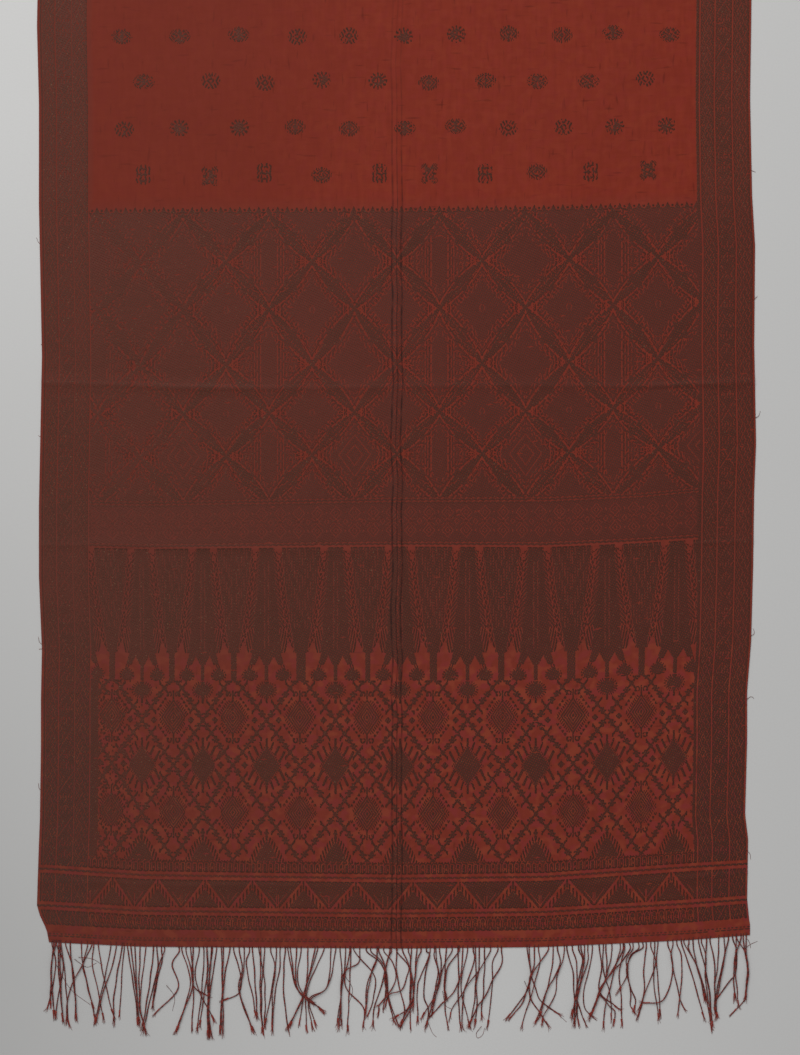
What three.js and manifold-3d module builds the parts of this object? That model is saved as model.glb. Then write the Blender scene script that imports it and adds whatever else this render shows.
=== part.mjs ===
// Silk shoulder cloth with a woven end panel and a twisted warp fringe, lying face up.
// Millimetres, +Z up. X runs across the cloth, +Y along it, away from the fringe.
// The origin is under the middle of the whole thing, on the surface it lies on.

import * as THREE from 'three';
import { mergeVertices } from 'three/addons/utils/BufferGeometryUtils.js';
import Module from 'manifold-3d';

// Driving sizes

const clothLength = 1840;          // hem line to the plain far hem, along the middle
const fringeReach = 110;           // longest strand, below the hem line
const sheetThickness = 1;
const farHemDepth = 12;            // turned hem at the far end, twice as thick
const farHemStep = 2;              // the turn's own slope
const stripDepth = 8;              // edge of the cloth that the strands grow from
const partingGap = 0.3;            // between the strip and the rest of the cloth
const hemY = -(clothLength + fringeReach) / 2 + fringeReach;

// Selvages: how far the left and right edges lie from the middle line, by height over the hem

const selvages = [
  { up: 0, left: 410, right: 417 },
  { up: 12, left: 412.4, right: 417 },
  { up: 18, left: 414.8, right: 416 },
  { up: 30, left: 420.7, right: 414.8 },
  { up: 41, left: 424.2, right: 413.6 },
  { up: 112, left: 421.9, right: 414.8 },
  { up: 142, left: 420.7, right: 411.2 },
  { up: 230, left: 419.5, right: 413.6 },
  { up: 289, left: 419.5, right: 413.6 },
  { up: 348, left: 418.3, right: 418.3 },
  { up: 437, left: 421.9, right: 420.7 },
  { up: 525, left: 421.9, right: 421.9 },
  { up: 584, left: 420.7, right: 424.2 },
  { up: 702, left: 418.3, right: 421.9 },
  { up: 820, left: 420.7, right: 423 },
  { up: 879, left: 421.9, right: 419.5 },
  { up: 997, left: 421.9, right: 417.1 },
  { up: 1086, left: 424.2, right: 418.3 },
  { up: 1240, left: 421, right: 420 },
  { up: 1420, left: 423, right: 418.5 },
  { up: 1620, left: 420.5, right: 421.5 },
  { up: 1840, left: 422, right: 420 },
];

// Hem line: how far it lies above or below its mean, from the left corner to the right one

const hemBow = [
  { x: -412, rise: 3.5 },
  { x: -339, rise: 1.2 },
  { x: -260, rise: -4.1 },
  { x: 4, rise: -4.1 },
  { x: 274, rise: -1.2 },
  { x: 346, rise: 5.9 },
  { x: 417, rise: 11.8 },
];
const bowFade = 1150;              // the bow dies out this far up the cloth

// Fold marks that stand up from the surface, as soft ridges

const crossCreases = [
  { up: 73, height: 1.5, spread: 12 },
  { up: 470, height: 2, spread: 12 },
  { up: 660, height: 3.5, spread: 16 },
  { up: 1260, height: 2.5, spread: 16 },
];
const longCrease = { x: 0.6, height: 2.6, spread: 11, fullTo: 864, fadedHeight: 1.2 };

// Low swells where the cloth doesn't lie quite flat

const swells = [
  { x: 330, up: 560, across: 90, along: 150, height: 2.4 },
  { x: -250, up: 330, across: 120, along: 110, height: 1.8 },
  { x: 190, up: 900, across: 100, along: 150, height: 2.0 },
  { x: -180, up: 1010, across: 110, along: 120, height: 1.8 },
  { x: 210, up: 230, across: 110, along: 120, height: 1.6 },
  { x: -230, up: 1480, across: 120, along: 170, height: 2.2 },
  { x: 220, up: 1610, across: 110, along: 140, height: 1.8 },
];

// Fringe: clumps of strands, by number of strands, where their tips gather, and how far they reach

const strandWidth = 2.1;
const strandHeight = 1.9;
const tipWidth = 1.3;
const tipSpacing = 2.7;
const rootSpan = { first: -406, gapFrom: 124, gapTo: 154, last: 413 };
const clumps = [
  { strands: 4, tip: -403, reach: 88 },
  { strands: 3, tip: -390, reach: 97 },
  { strands: 3, tip: -376, reach: 86 },
  { strands: 4, tip: -350, reach: 92 },
  { strands: 4, tip: -332, reach: 93 },
  { strands: 5, tip: -300, reach: 102 },
  { strands: 3, tip: -285, reach: 85 },
  { strands: 3, tip: -258, reach: 103 },
  { strands: 2, tip: -241, reach: 100 },
  { strands: 4, tip: -223, reach: 110 },
  { strands: 3, tip: -207, reach: 104 },
  { strands: 4, tip: -169, reach: 102 },
  { strands: 4, tip: -154, reach: 104 },
  { strands: 3, tip: -131, reach: 106 },
  { strands: 4, tip: -116, reach: 99 },
  { strands: 3, tip: -97, reach: 98 },
  { strands: 5, tip: -63, reach: 104 },
  { strands: 4, tip: -35, reach: 95 },
  { strands: 4, tip: -2, reach: 97 },
  { strands: 3, tip: 17, reach: 99 },
  { strands: 3, tip: 35, reach: 96 },
  { strands: 3, tip: 60, reach: 97 },
  { strands: 4, tip: 77, reach: 100 },
  { strands: 4, tip: 91, reach: 98 },
  { strands: 4, tip: 106, reach: 97 },
  { strands: 3, tip: 137, reach: 89 },
  { strands: 2, tip: 148, reach: 99 },
  { strands: 3, tip: 169, reach: 97 },
  { strands: 5, tip: 212, reach: 97 },
  { strands: 3, tip: 227, reach: 89 },
  { strands: 4, tip: 247, reach: 98 },
  { strands: 3, tip: 266, reach: 97 },
  { strands: 3, tip: 284, reach: 87 },
  { strands: 3, tip: 310, reach: 90 },
  { strands: 3, tip: 333, reach: 88 },
  { strands: 4, tip: 361, reach: 87 },
  { strands: 5, tip: 375, reach: 101 },
  { strands: 4, tip: 401, reach: 84 },
];
const strandSway = 3;              // sideways bend at mid length, shared by neighbours
const swayPitch = 40;

// Shape of the lying cloth

function between(rows, key, at, value) {
  const last = rows.length - 1;
  if (at <= rows[0][key]) return rows[0][value];
  if (at >= rows[last][key]) return rows[last][value];
  const i = rows.findIndex((row) => row[key] >= at);
  const t = (at - rows[i - 1][key]) / (rows[i][key] - rows[i - 1][key]);
  return THREE.MathUtils.lerp(rows[i - 1][value], rows[i][value], t);
}

function ridge(distance, spread) {
  const t = Math.min(Math.abs(distance) / spread, 1);
  return (1 + Math.cos(Math.PI * t)) / 2;
}

// Height of the cloth's underside over the surface
function lift(x, up) {
  const faded = THREE.MathUtils.smoothstep(up, longCrease.fullTo, longCrease.fullTo + 120);
  const longHeight = THREE.MathUtils.lerp(longCrease.height, longCrease.fadedHeight, faded);
  let z = longHeight * ridge(x - longCrease.x, longCrease.spread);
  for (const crease of crossCreases) {
    z = Math.max(z, crease.height * ridge(up - crease.up, crease.spread));
  }
  for (const swell of swells) {
    const away = Math.hypot((x - swell.x) / swell.across, (up - swell.up) / swell.along);
    z = Math.max(z, swell.height * ridge(away, 1));
  }
  return z;
}

// A point of the cloth: across is 0 at the left selvage and 1 at the right one
function layPoint(across, up) {
  const left = -between(selvages, 'up', up, 'left');
  const right = between(selvages, 'up', up, 'right');
  const x = THREE.MathUtils.lerp(left, right, across);
  const bow = between(hemBow, 'x', x, 'rise') * Math.max(0, 1 - up / bowFade);
  return { x, y: hemY + up + bow, z: lift(x, up) };
}

function thicknessAt(up) {
  const turned = THREE.MathUtils.smoothstep(up, clothLength - farHemDepth - farHemStep, clothLength - farHemDepth);
  return sheetThickness * (1 + turned);
}

// A closed sheet between two heights over the hem, from rows and columns of stations
function sheetGeometry(ups, acrosses) {
  const positions = [];
  const index = [];
  const columns = acrosses.length;
  const layer = ups.length * columns;
  for (const top of [true, false]) {
    for (const up of ups) {
      for (const across of acrosses) {
        const p = layPoint(across, up);
        positions.push(p.x, p.y, p.z + (top ? thicknessAt(up) : 0));
      }
    }
  }
  const at = (row, column) => row * columns + column;
  for (let row = 0; row < ups.length - 1; row += 1) {
    for (let column = 0; column < columns - 1; column += 1) {
      const a = at(row, column);
      const b = at(row, column + 1);
      const c = at(row + 1, column + 1);
      const d = at(row + 1, column);
      index.push(a, b, c, a, c, d);
      index.push(layer + a, layer + c, layer + b, layer + a, layer + d, layer + c);
    }
  }
  const rim = [];
  for (let column = 0; column < columns - 1; column += 1) rim.push(at(0, column));
  for (let row = 0; row < ups.length - 1; row += 1) rim.push(at(row, columns - 1));
  for (let column = columns - 1; column > 0; column -= 1) rim.push(at(ups.length - 1, column));
  for (let row = ups.length - 1; row > 0; row -= 1) rim.push(at(row, 0));
  rim.forEach((a, i) => {
    const b = rim[(i + 1) % rim.length];
    index.push(a, layer + a, layer + b, a, layer + b, b);
  });
  return bufferGeometry(positions, index);
}

function bufferGeometry(positions, index) {
  const geometry = new THREE.BufferGeometry();
  geometry.setAttribute('position', new THREE.Float32BufferAttribute(positions, 3));
  geometry.setIndex(index);
  geometry.computeVertexNormals();
  return geometry;
}

// Stations across: even steps, and close ones over the lengthwise crease
function acrossStations() {
  const width = selvages[0].left + selvages[0].right;
  const middle = (longCrease.x + selvages[0].left) / width;
  const evenSteps = 16;
  const stations = new Set();
  for (let i = 0; i <= evenSteps; i += 1) {
    const across = i / evenSteps;
    if (Math.abs(across - middle) * width > longCrease.spread * 1.4) stations.add(across);
  }
  for (const share of [-1, -0.5, 0, 0.5, 1]) stations.add(middle + share * longCrease.spread / width);
  return [...stations].sort((a, b) => a - b);
}

// Stations along: the selvage table's own rows, and close ones over each cross crease
function alongStations() {
  const first = stripDepth + partingGap;
  const closest = 5;
  const wanted = selvages.map((row) => row.up);
  for (const crease of crossCreases) {
    for (const share of [-1, -0.5, 0, 0.5, 1]) wanted.push(crease.up + share * crease.spread);
  }
  const longStep = 55;
  for (let up = longStep; up < clothLength - longStep; up += longStep) wanted.push(up);
  const inside = wanted.filter((up) => up > first + closest && up < clothLength - farHemDepth - closest);
  const stations = [first];
  for (const up of inside.sort((a, b) => a - b)) {
    if (up - stations[stations.length - 1] >= closest) stations.push(up);
  }
  stations.push(clothLength - farHemDepth - farHemStep, clothLength - farHemDepth, clothLength);
  return stations;
}

// Where each strand leaves the hem: even steps, with the bare stretch left out
function strandRoots() {
  const count = clumps.reduce((sum, clump) => sum + clump.strands, 0);
  const leftSpan = rootSpan.gapFrom - rootSpan.first;
  const rightSpan = rootSpan.last - rootSpan.gapTo;
  const leftCount = Math.round(count * leftSpan / (leftSpan + rightSpan));
  const roots = [];
  for (let i = 0; i < leftCount; i += 1) {
    roots.push(rootSpan.first + leftSpan * i / (leftCount - 1));
  }
  for (let i = 0; i < count - leftCount; i += 1) {
    roots.push(rootSpan.gapTo + rightSpan * i / (count - leftCount - 1));
  }
  return roots;
}

// One three-sided strand that starts inside the strip and lies level on the surface
function addStrand(positions, index, root, tip, reach) {
  const hem = between(hemBow, 'x', root, 'rise');
  const rootLift = lift(root, 0);
  const inside = 4;
  const justOut = 1;
  const landed = 9;
  const midSteps = 3;
  const stations = [-inside, justOut, landed];
  const last = reach + hem;
  for (let i = 1; i <= midSteps; i += 1) stations.push(landed + (last - landed) * i / midSteps);
  const base = positions.length / 3;
  stations.forEach((out, i) => {
    const inStrip = i < 2;
    const t = THREE.MathUtils.clamp(out / (fringeReach + hem), 0, 1);
    const gathered = THREE.MathUtils.smoothstep(t, 0, 0.9);
    const sway = strandSway * Math.sin(root / swayPitch) * Math.sin(Math.PI * t);
    const x = THREE.MathUtils.lerp(root, tip, gathered) + sway;
    const y = hemY + hem - out;
    const half = (i === stations.length - 1 ? tipWidth : strandWidth) / 2;
    const low = inStrip ? rootLift + sheetThickness * 0.2 : 0;
    const high = inStrip ? rootLift + sheetThickness * 0.8 : strandHeight;
    positions.push(x - half, y, low, x + half, y, low, x, y, high);
  });
  const end = base + (stations.length - 1) * 3;
  index.push(base, base + 2, base + 1);
  for (let i = base; i < end; i += 3) {
    for (let side = 0; side < 3; side += 1) {
      const a = i + side;
      const b = i + (side + 1) % 3;
      index.push(a, b + 3, a + 3, a, b, b + 3);
    }
  }
  index.push(end, end + 1, end + 2);
}

function strandsGeometry() {
  const positions = [];
  const index = [];
  const roots = strandRoots();
  let next = 0;
  for (const clump of clumps) {
    for (let i = 0; i < clump.strands; i += 1) {
      const offset = (i - (clump.strands - 1) / 2) * tipSpacing;
      const shorter = (i % 3) * 2.5;
      addStrand(positions, index, roots[next], clump.tip + offset, clump.reach - shorter);
      next += 1;
    }
  }
  return bufferGeometry(positions, index);
}

// Joining closed meshes

const wasm = await Module();
wasm.setup();

function toSolid(geometry) {
  const bare = geometry.clone();
  bare.deleteAttribute('normal');
  const merged = mergeVertices(bare, 1e-4);
  return new wasm.Manifold(new wasm.Mesh({
    numProp: 3,
    vertProperties: Float32Array.from(merged.attributes.position.array),
    triVerts: Uint32Array.from(merged.index.array),
  }));
}

function toGeometry(solid) {
  const mesh = solid.getMesh();
  return bufferGeometry(Array.from(mesh.vertProperties), Array.from(mesh.triVerts));
}

// The two pieces

function clothMesh() {
  const material = new THREE.MeshStandardMaterial({ color: '#62302a', roughness: 0.62, metalness: 0.05 });
  const mesh = new THREE.Mesh(sheetGeometry(alongStations(), acrossStations()), material);
  mesh.name = 'cloth';
  return mesh;
}

function fringeMesh() {
  const material = new THREE.MeshStandardMaterial({ color: '#5a2420', roughness: 0.7, metalness: 0 });
  const strip = sheetGeometry([0, stripDepth], acrossStations());
  const joined = toSolid(strip).add(toSolid(strandsGeometry()));
  const mesh = new THREE.Mesh(toGeometry(joined), material);
  mesh.name = 'fringe';
  return mesh;
}

const silkCloth = new THREE.Group();
silkCloth.add(clothMesh(), fringeMesh());

export default silkCloth;
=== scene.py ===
# Silk shoulder cloth with a woven end panel and a twisted fringe, lying face up on a pale floor.
import math
import bpy
import mathutils
import numpy as np
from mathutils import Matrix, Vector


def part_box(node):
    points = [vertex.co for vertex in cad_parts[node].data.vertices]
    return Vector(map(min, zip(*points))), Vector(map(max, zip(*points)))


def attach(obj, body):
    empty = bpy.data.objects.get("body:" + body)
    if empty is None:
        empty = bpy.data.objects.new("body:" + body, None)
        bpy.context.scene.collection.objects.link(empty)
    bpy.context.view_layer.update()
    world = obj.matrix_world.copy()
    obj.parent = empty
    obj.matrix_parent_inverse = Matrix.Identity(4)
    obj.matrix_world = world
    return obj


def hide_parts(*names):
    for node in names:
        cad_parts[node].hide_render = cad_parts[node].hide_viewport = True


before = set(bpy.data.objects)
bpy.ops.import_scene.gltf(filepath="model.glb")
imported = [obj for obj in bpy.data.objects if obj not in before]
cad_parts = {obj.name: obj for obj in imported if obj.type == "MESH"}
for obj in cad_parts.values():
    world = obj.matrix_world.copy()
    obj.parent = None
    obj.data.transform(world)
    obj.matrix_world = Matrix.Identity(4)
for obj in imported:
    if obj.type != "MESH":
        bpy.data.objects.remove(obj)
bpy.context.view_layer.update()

mm = 0.001

# The draft of the weave is counted in ends from the middle of the cloth and in picks from the hem.
weave = {
    "thread": 1.18,            # mm for one end or one pick of the draft: drawn coarser than real ones
    "clothLength": 1840,       # mm from the hem to the far edge
    "columnsPerEnd": 3,        # how finely a float's ends are placed
    "leftEnd": -357,           # selvages, in ends from the middle
    "rightEnd": 355,
    "sheetThickness": 0.6,     # mm
    "floatRise": 0.40,         # mm that a pattern thread arches over the ground
    "hemPicks": 12,            # the far hem is turned, plain and red
    "hemLine": (16, 14, 60),   # a brown line beside it: picks from the far edge, columns left out at its ends
}
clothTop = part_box("cloth")[1]
hemY = clothTop[1] / mm - weave["clothLength"]

thread = weave["thread"]
flatLeft, flatRight = weave["leftEnd"] * thread, weave["rightEnd"] * thread

view = {
    "imageHeight": 1055,       # pixels
    "photoPixel": 1.18,        # mm of cloth for one pixel of the photo
    "centreEnd": 3.5,          # what the middle of the photo shows
    "centreUp": 492.65,        # mm over the hem line
    "distance": 4200,          # mm
    "sensor": 36,
    "farClip": 50,             # metres
}


def placed(name, data):
    # a new object in the scene
    item = bpy.data.objects.new(name, data)
    bpy.context.scene.collection.objects.link(item)
    return item


def makeCamera():
    data = bpy.data.cameras.new("camera")
    data.sensor_fit = "AUTO"
    data.sensor_width = view["sensor"]
    data.lens = view["sensor"] * view["distance"] / (view["imageHeight"] * view["photoPixel"])
    data.clip_end = view["farClip"]
    camera = placed("camera", data)
    camera.location = (view["centreEnd"] * thread * mm, (hemY + view["centreUp"]) * mm, view["distance"] * mm)
    bpy.context.scene.camera = camera


makeCamera()
print("camera placed")

# How the cloth lies. The tables are the CAD model's own, in mm.
selvages = np.array([
    # up, left, right
    (0, 410, 417), (12, 412.4, 417), (18, 414.8, 416), (30, 420.7, 414.8), (41, 424.2, 413.6),
    (112, 421.9, 414.8), (142, 420.7, 411.2), (230, 419.5, 413.6), (289, 419.5, 413.6),
    (348, 418.3, 418.3), (437, 421.9, 420.7), (525, 421.9, 421.9), (584, 420.7, 424.2),
    (702, 418.3, 421.9), (820, 420.7, 423), (879, 421.9, 419.5), (997, 421.9, 417.1),
    (1086, 424.2, 418.3), (1240, 421, 420), (1420, 423, 418.5), (1620, 420.5, 421.5), (1840, 422, 420),
])
hemBow = np.array([(-412, 3.5), (-339, 1.2), (-260, -4.1), (4, -4.1), (274, -1.2), (346, 5.9), (417, 11.8)])
bowFade = 1150
crossCreases = [
    # up, height, spread: worn softer than the CAD model's
    (73, 0.7, 12), (470, 0.9, 12), (660, 1.5, 14), (1260, 1.3, 14),
]
longCrease = {
    "x": 0.6, "height": 0.8, "spread": 9,
    "core": 4.5,               # mm, the sharper middle of the crease
    "fullTo": 864,             # mm over the hem: further up the crease has fallen flat
    "fadesOver": 120, "fadedHeight": 0.25,
    "pucker": 0.30,            # mm, on a crease as high as the next value
    "puckerOf": 2.6,
    "puckerReach": 16,
}
swells = [
    # x, up, across, along, height
    (330, 560, 90, 150, 2.4), (-250, 330, 120, 110, 1.8), (190, 900, 100, 150, 2.0),
    (-180, 1010, 110, 120, 1.8), (210, 230, 110, 120, 1.6), (-230, 1480, 120, 170, 2.2),
    (220, 1610, 110, 140, 1.8),
]
# How far each weft line bows from straight: rows are heights over the hem, columns are places across
bowAcross = np.array([-412, -300, 0, 175, 290, 345, 417])
bowUp = np.array([0, 82, 475, 528, 868, 1130])
bowTable = np.array([
    (3.5, -1.9, -4.1, -2.3, 3.2, 5.9, 11.8),
    (7.7, 0.2, -4.1, -2.0, 5.8, 9.5, 13.6),
    (-4.1, -7.2, -4.1, -4.9, 0.0, 3.4, 8.5),
    (-8.0, -10.0, -5.5, -5.0, 0.2, 5.2, 9.5),
    (-6.5, -5.4, -4.1, -2.5, 0.4, 1.8, 4.0),
    (0.0, 0.0, 0.0, 0.0, 0.0, 0.0, 0.0),
])


def smooth(a, b, x):
    # 0 up to a, 1 from b, eased between
    t = np.clip((x - a) / (b - a), 0, 1)
    return t * t * (3 - 2 * t)


def ridge(distance, spread):
    # 1 in the middle, falling softly to 0 at the spread
    t = np.clip(np.abs(distance) / spread, 0, 1)
    return (1 + np.cos(np.pi * t)) / 2


def within(value, low, high):
    return (value > low) & (value < high)


def bowAt(x, up):
    row = np.interp(up, bowUp, np.arange(len(bowUp)))
    low = np.minimum(row.astype(int), len(bowUp) - 2)
    share = row - low
    columns = np.array([np.interp(x, bowAcross, bows) for bows in bowTable])
    index = np.arange(len(x))
    return columns[low, index] * (1 - share) + columns[low + 1, index] * share


def liftAt(x, height):
    # height is over the hem's mean line; creases run across it with the hem's own faded bow
    up = height - np.interp(x, hemBow[:, 0], hemBow[:, 1]) * np.maximum(0, 1 - height / bowFade)
    faded = smooth(longCrease["fullTo"], longCrease["fullTo"] + longCrease["fadesOver"], up)
    full = longCrease["height"] * (1 - faded) + longCrease["fadedHeight"] * faded
    wander = 1.6 * np.sin(up / 61) + 0.9 * np.sin(up / 23 + 1)       # the fold isn't quite straight
    off = x - longCrease["x"] - wander
    z = full * (0.55 * ridge(off, longCrease["spread"]) + 0.45 * ridge(off, longCrease["core"]))
    pucker = longCrease["pucker"] * full / longCrease["puckerOf"]
    z += pucker * ridge(off, longCrease["puckerReach"]) * np.sin(up / 5.3 + 2 * np.sin(up / 37))
    for creaseUp, creaseHeight, spread in crossCreases:
        off = up - creaseUp - 1.2 * np.sin(x / 83 + creaseUp)
        profile = 0.6 * ridge(off, spread) + 0.4 * ridge(off, spread * 0.4)
        # the crease has stayed sharper towards both sides
        kept = 0.45 + 0.55 * np.maximum(ridge(x - 335, 110), 0.7 * ridge(x + 215, 120))
        z = np.maximum(z, creaseHeight * kept * profile)
    for swellX, swellUp, across, along, swellHeight in swells:
        away = np.hypot((x - swellX) / across, (up - swellUp) / along)
        z = np.maximum(z, swellHeight * ridge(away, 1))
    ripples = np.sin(x / 17 + 2 * np.sin(up / 90)) * np.sin(up / 41 + x / 130)
    return z + 0.10 * (1 + ripples)


def lay(across, up, above):
    # points of the flat cloth, all in mm, become places in metres
    left = -np.interp(up, selvages[:, 0], selvages[:, 1])
    right = np.interp(up, selvages[:, 0], selvages[:, 2])
    x = across + (left - flatLeft) * smooth(-240, flatLeft, across)
    x = x + (right - flatRight) * smooth(240, flatRight, across)
    height = up + bowAt(x, up)
    return np.stack((x, hemY + height, liftAt(x, height) + above), axis=-1) * mm


def addNode(tree, kind, inputs=(), **settings):
    # adds a node, sets it, links or fills its inputs by place or by name, and gives back its outputs
    node = tree.nodes.new(kind)
    for name, value in settings.items():
        setattr(node, name, value)
    for name, value in inputs.items() if isinstance(inputs, dict) else enumerate(inputs):
        if isinstance(value, bpy.types.NodeSocket):
            tree.links.new(value, node.inputs[name])
        else:
            node.inputs[name].default_value = value
    return node.outputs


def toLinear(hexColour):
    # an sRGB hex colour as linear light
    channels = [int(hexColour[i:i + 2], 16) / 255 for i in (1, 3, 5)]
    linear = [c / 12.92 if c <= 0.04045 else ((c + 0.055) / 1.055) ** 2.4 for c in channels]
    return (*linear, 1)


def newMaterial(name, roughness, specular, metallic=0.0, sheen=0.0, sheenTint="#ffffff"):
    material = bpy.data.materials.new(name)
    material.use_nodes = True
    shader = material.node_tree.nodes["Principled BSDF"]
    finish = {"Roughness": roughness, "Metallic": metallic, "Specular IOR Level": specular,
              "Sheen Weight": sheen, "Sheen Tint": toLinear(sheenTint), "Sheen Roughness": 0.4}
    for label, value in finish.items():
        shader.inputs[label].default_value = value
    return material, material.node_tree, shader


def flatPlace(tree, stretch=(1, 1, 1)):
    # place on the flat cloth in metres, from the piece's own attribute, stretched for a pattern
    place = addNode(tree, "ShaderNodeAttribute", attribute_name="flatPlace")["Vector"]
    return addNode(tree, "ShaderNodeMapping", {"Vector": place, "Scale": stretch})[0]


def patches(tree, scale, detail, roughness, stretch=(1, 1, 1)):
    # an uneven pattern over the flat cloth
    return addNode(tree, "ShaderNodeTexNoise", {
        "Vector": flatPlace(tree, stretch), "Scale": scale, "Detail": detail, "Roughness": roughness})[0]


def stain(tree, colour, tint, *shares):
    # lays a tint over a colour by the product of its shares: each a socket, or a ramp as a socket, the two
    # values that it runs between and the shares at them
    parts = [addNode(tree, "ShaderNodeMapRange", given)[0] if isinstance(given, tuple) else given
             for given in shares]
    share = parts[0]
    for part in parts[1:]:
        share = addNode(tree, "ShaderNodeMath", [share, part], operation="MULTIPLY")[0]
    return addNode(tree, "ShaderNodeMix", {0: share, 6: colour, 7: toLinear(tint)}, data_type="RGBA")[2]


def stained(tree, ground, stains):
    # a ground colour under stains of (tint, scale, detail, roughness, stretch, from, to, share)
    colour = toLinear(ground)
    for tint, scale, detail, roughness, stretch, low, high, most in stains:
        pattern = patches(tree, scale, detail, roughness, stretch)
        colour = stain(tree, colour, tint, (pattern, low, high, 0, most))
    return colour


def ripple(tree, along, pitch, shape):
    # a wave along one way of the cloth, pitch in mm
    turn = addNode(tree, "ShaderNodeMath", [along, 2 * math.pi / (pitch * mm)], operation="MULTIPLY")[0]
    return addNode(tree, "ShaderNodeMath", [turn], operation=shape)[0]


foldShade = {
    "colour": "#24110e",       # painted shade in the valleys beside the lengthwise fold
    "lines": ((-0.0052, 0.0016), (0.0004, 0.0010), (0.0060, 0.0014)),    # place and width, in metres
    "wander": 0.004,
}


def finishCloth(material, tree, shader, colour, worn, dull, height, strength):
    # what silk and pattern thread share: painted shade along the fold, as dark as worn says, the duller left
    # side and the relief of the weave
    axis = addNode(tree, "ShaderNodeSeparateXYZ", [flatPlace(tree)])
    wander = patches(tree, 14, 1, 0.5, (0, 1, 1))
    wander = addNode(tree, "ShaderNodeMapRange", [wander, 0, 1, -foldShade["wander"], foldShade["wander"]])[0]
    off = addNode(tree, "ShaderNodeMath", [axis["X"], wander], operation="SUBTRACT")[0]
    # painted shade: three dark lines along the lengthwise fold, where its valleys lie
    for place, width in foldShade["lines"]:
        away = addNode(tree, "ShaderNodeMath", [off, place], operation="SUBTRACT")[0]
        away = addNode(tree, "ShaderNodeMath", [away], operation="ABSOLUTE")[0]
        broken = patches(tree, 60 + place * 1000, 2, 0.6, (0.2, 1, 1))
        colour = stain(tree, colour, foldShade["colour"], (away, width * 0.3, width, worn, 0),
                       (axis["Y"], 0.80, 1.05, 1, 0.25), (broken, 0.35, 0.6, 0.35, 1))
    # the left side is duller
    colour = stain(tree, colour, dull, (axis["X"], 0.05, -0.40, 0, 0.22))
    tree.links.new(colour, shader.inputs["Base Color"])
    bump = addNode(tree, "ShaderNodeBump", {"Height": height, "Strength": strength, "Distance": 0.1 * mm})[0]
    tree.links.new(bump, shader.inputs["Normal"])
    return material


silk = {
    "deep": "#752618",         # dyed silk ground
    "stains": (
        # tint, scale, detail, roughness, stretch, from, to, share
        ("#7e2b1b", 60, 2, 0.5, (3, 0.5, 1), 0.3, 0.7, 1),          # streaks along the warp
        ("#86321d", 60, 2, 0.5, (0.5, 3.5, 1), 0.35, 0.8, 0.3),     # and along the weft
        ("#752618", 9, 3, 0.55, (1, 1, 1), 0.42, 0.72, 0.6),        # uneven dye
        ("#55190f", 42, 1, 0.5, (5, 0.9, 1), 0.66, 0.76, 0.5),      # painted shade of short puckers both ways
        ("#55190f", 42, 1, 0.5, (0.8, 5, 1), 0.66, 0.76, 0.5),
    ),
    "crimson": "#802927", "orange": "#893822", "dusty": "#64382f", "dim": "#6f2719", "dull": "#45241c",
    "weaveBump": 0.06,
    "weavePitch": 1.18,        # mm: as coarse as the pattern is drawn, real threads are too fine to show
}


def silkMaterial():
    # dyed silk, plain weave: a soft warp-faced lustre, streaked along both thread ways
    material, tree, shader = newMaterial("redSilk", 0.6, 0.11, sheen=0.02, sheenTint="#c8806c")
    colour = stained(tree, silk["deep"], silk["stains"])
    axis = addNode(tree, "ShaderNodeSeparateXYZ", [flatPlace(tree)])
    x, y = axis["X"], axis["Y"]
    # each skein took the dye a little differently, most of all near the hem
    for scale, stretch, low, high, tint in ((85, (1, 1, 1), 0.46, 0.60, "crimson"),
                                            (70, (1, 1.2, 1), 0.50, 0.64, "orange")):
        skein = patches(tree, scale, 1, 0.5, stretch)
        colour = stain(tree, colour, silk[tint], (skein, low, high, 0, 0.8), (y, 0.32, 0.42, 1, 0.2))
    # between the metal threads the silk has kept dust, less of it higher up and to the right
    aside = addNode(tree, "ShaderNodeMath", [x], operation="ABSOLUTE")[0]
    inBorder = addNode(tree, "ShaderNodeMapRange", [aside, 0.356, 0.360, 0, 1])[0]
    inPanel = addNode(tree, "ShaderNodeMapRange", [y, 0.872, 0.888, 1, 0])[0]
    patterned = addNode(tree, "ShaderNodeMath", [inBorder, inPanel], operation="MAXIMUM")[0]
    colour = stain(tree, colour, silk["dusty"], patterned, (y, 0.33, 0.36, 0.36, 0.55),
                   (y, 0.52, 0.56, 1, 0.55), (x, -0.3, 0.05, 1, 0.55))
    # the left of the plain field has dimmed
    colour = stain(tree, colour, silk["dim"], (x, -0.03, -0.2, 0, 0.45), (y, 0.86, 0.88, 0, 1))
    waves = [ripple(tree, way, silk["weavePitch"], "SINE") for way in (x, y)]
    cross = addNode(tree, "ShaderNodeMath", waves, operation="MULTIPLY")[0]
    return finishCloth(material, tree, shader, colour, 0.75, silk["dull"], cross, silk["weaveBump"])


metalThread = {
    "dark": "#442617",         # gilt thread tarnished to brown
    "stains": (
        ("#532f23", 120, 2, 0.6, (0.6, 9, 1), 0.3, 0.7, 1),
        ("#632e23", 14, 3, 0.6, (1, 1, 1), 0.4, 0.75, 0.45),
        ("#6a3c2c", 700, 2, 0.5, (1, 1, 1), 0.6, 0.8, 0.3),
        ("#86684c", 420, 1, 0.5, (1, 1, 1), 0.67, 0.74, 0.6),       # the last of the gilt in pale specks, partly painted glints of light
    ),
    "warm": "#632e23",
    "edge": "#381d10",         # painted shade on thin lines and edges, where a thread bends down into the weave
    "dirt": "#3a2b23", "unworn": "#41201a", "dull": "#54362e",
    "threadBump": 0.2,
    "tiePitch": 3.4,           # mm across the slanting rows
}


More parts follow.
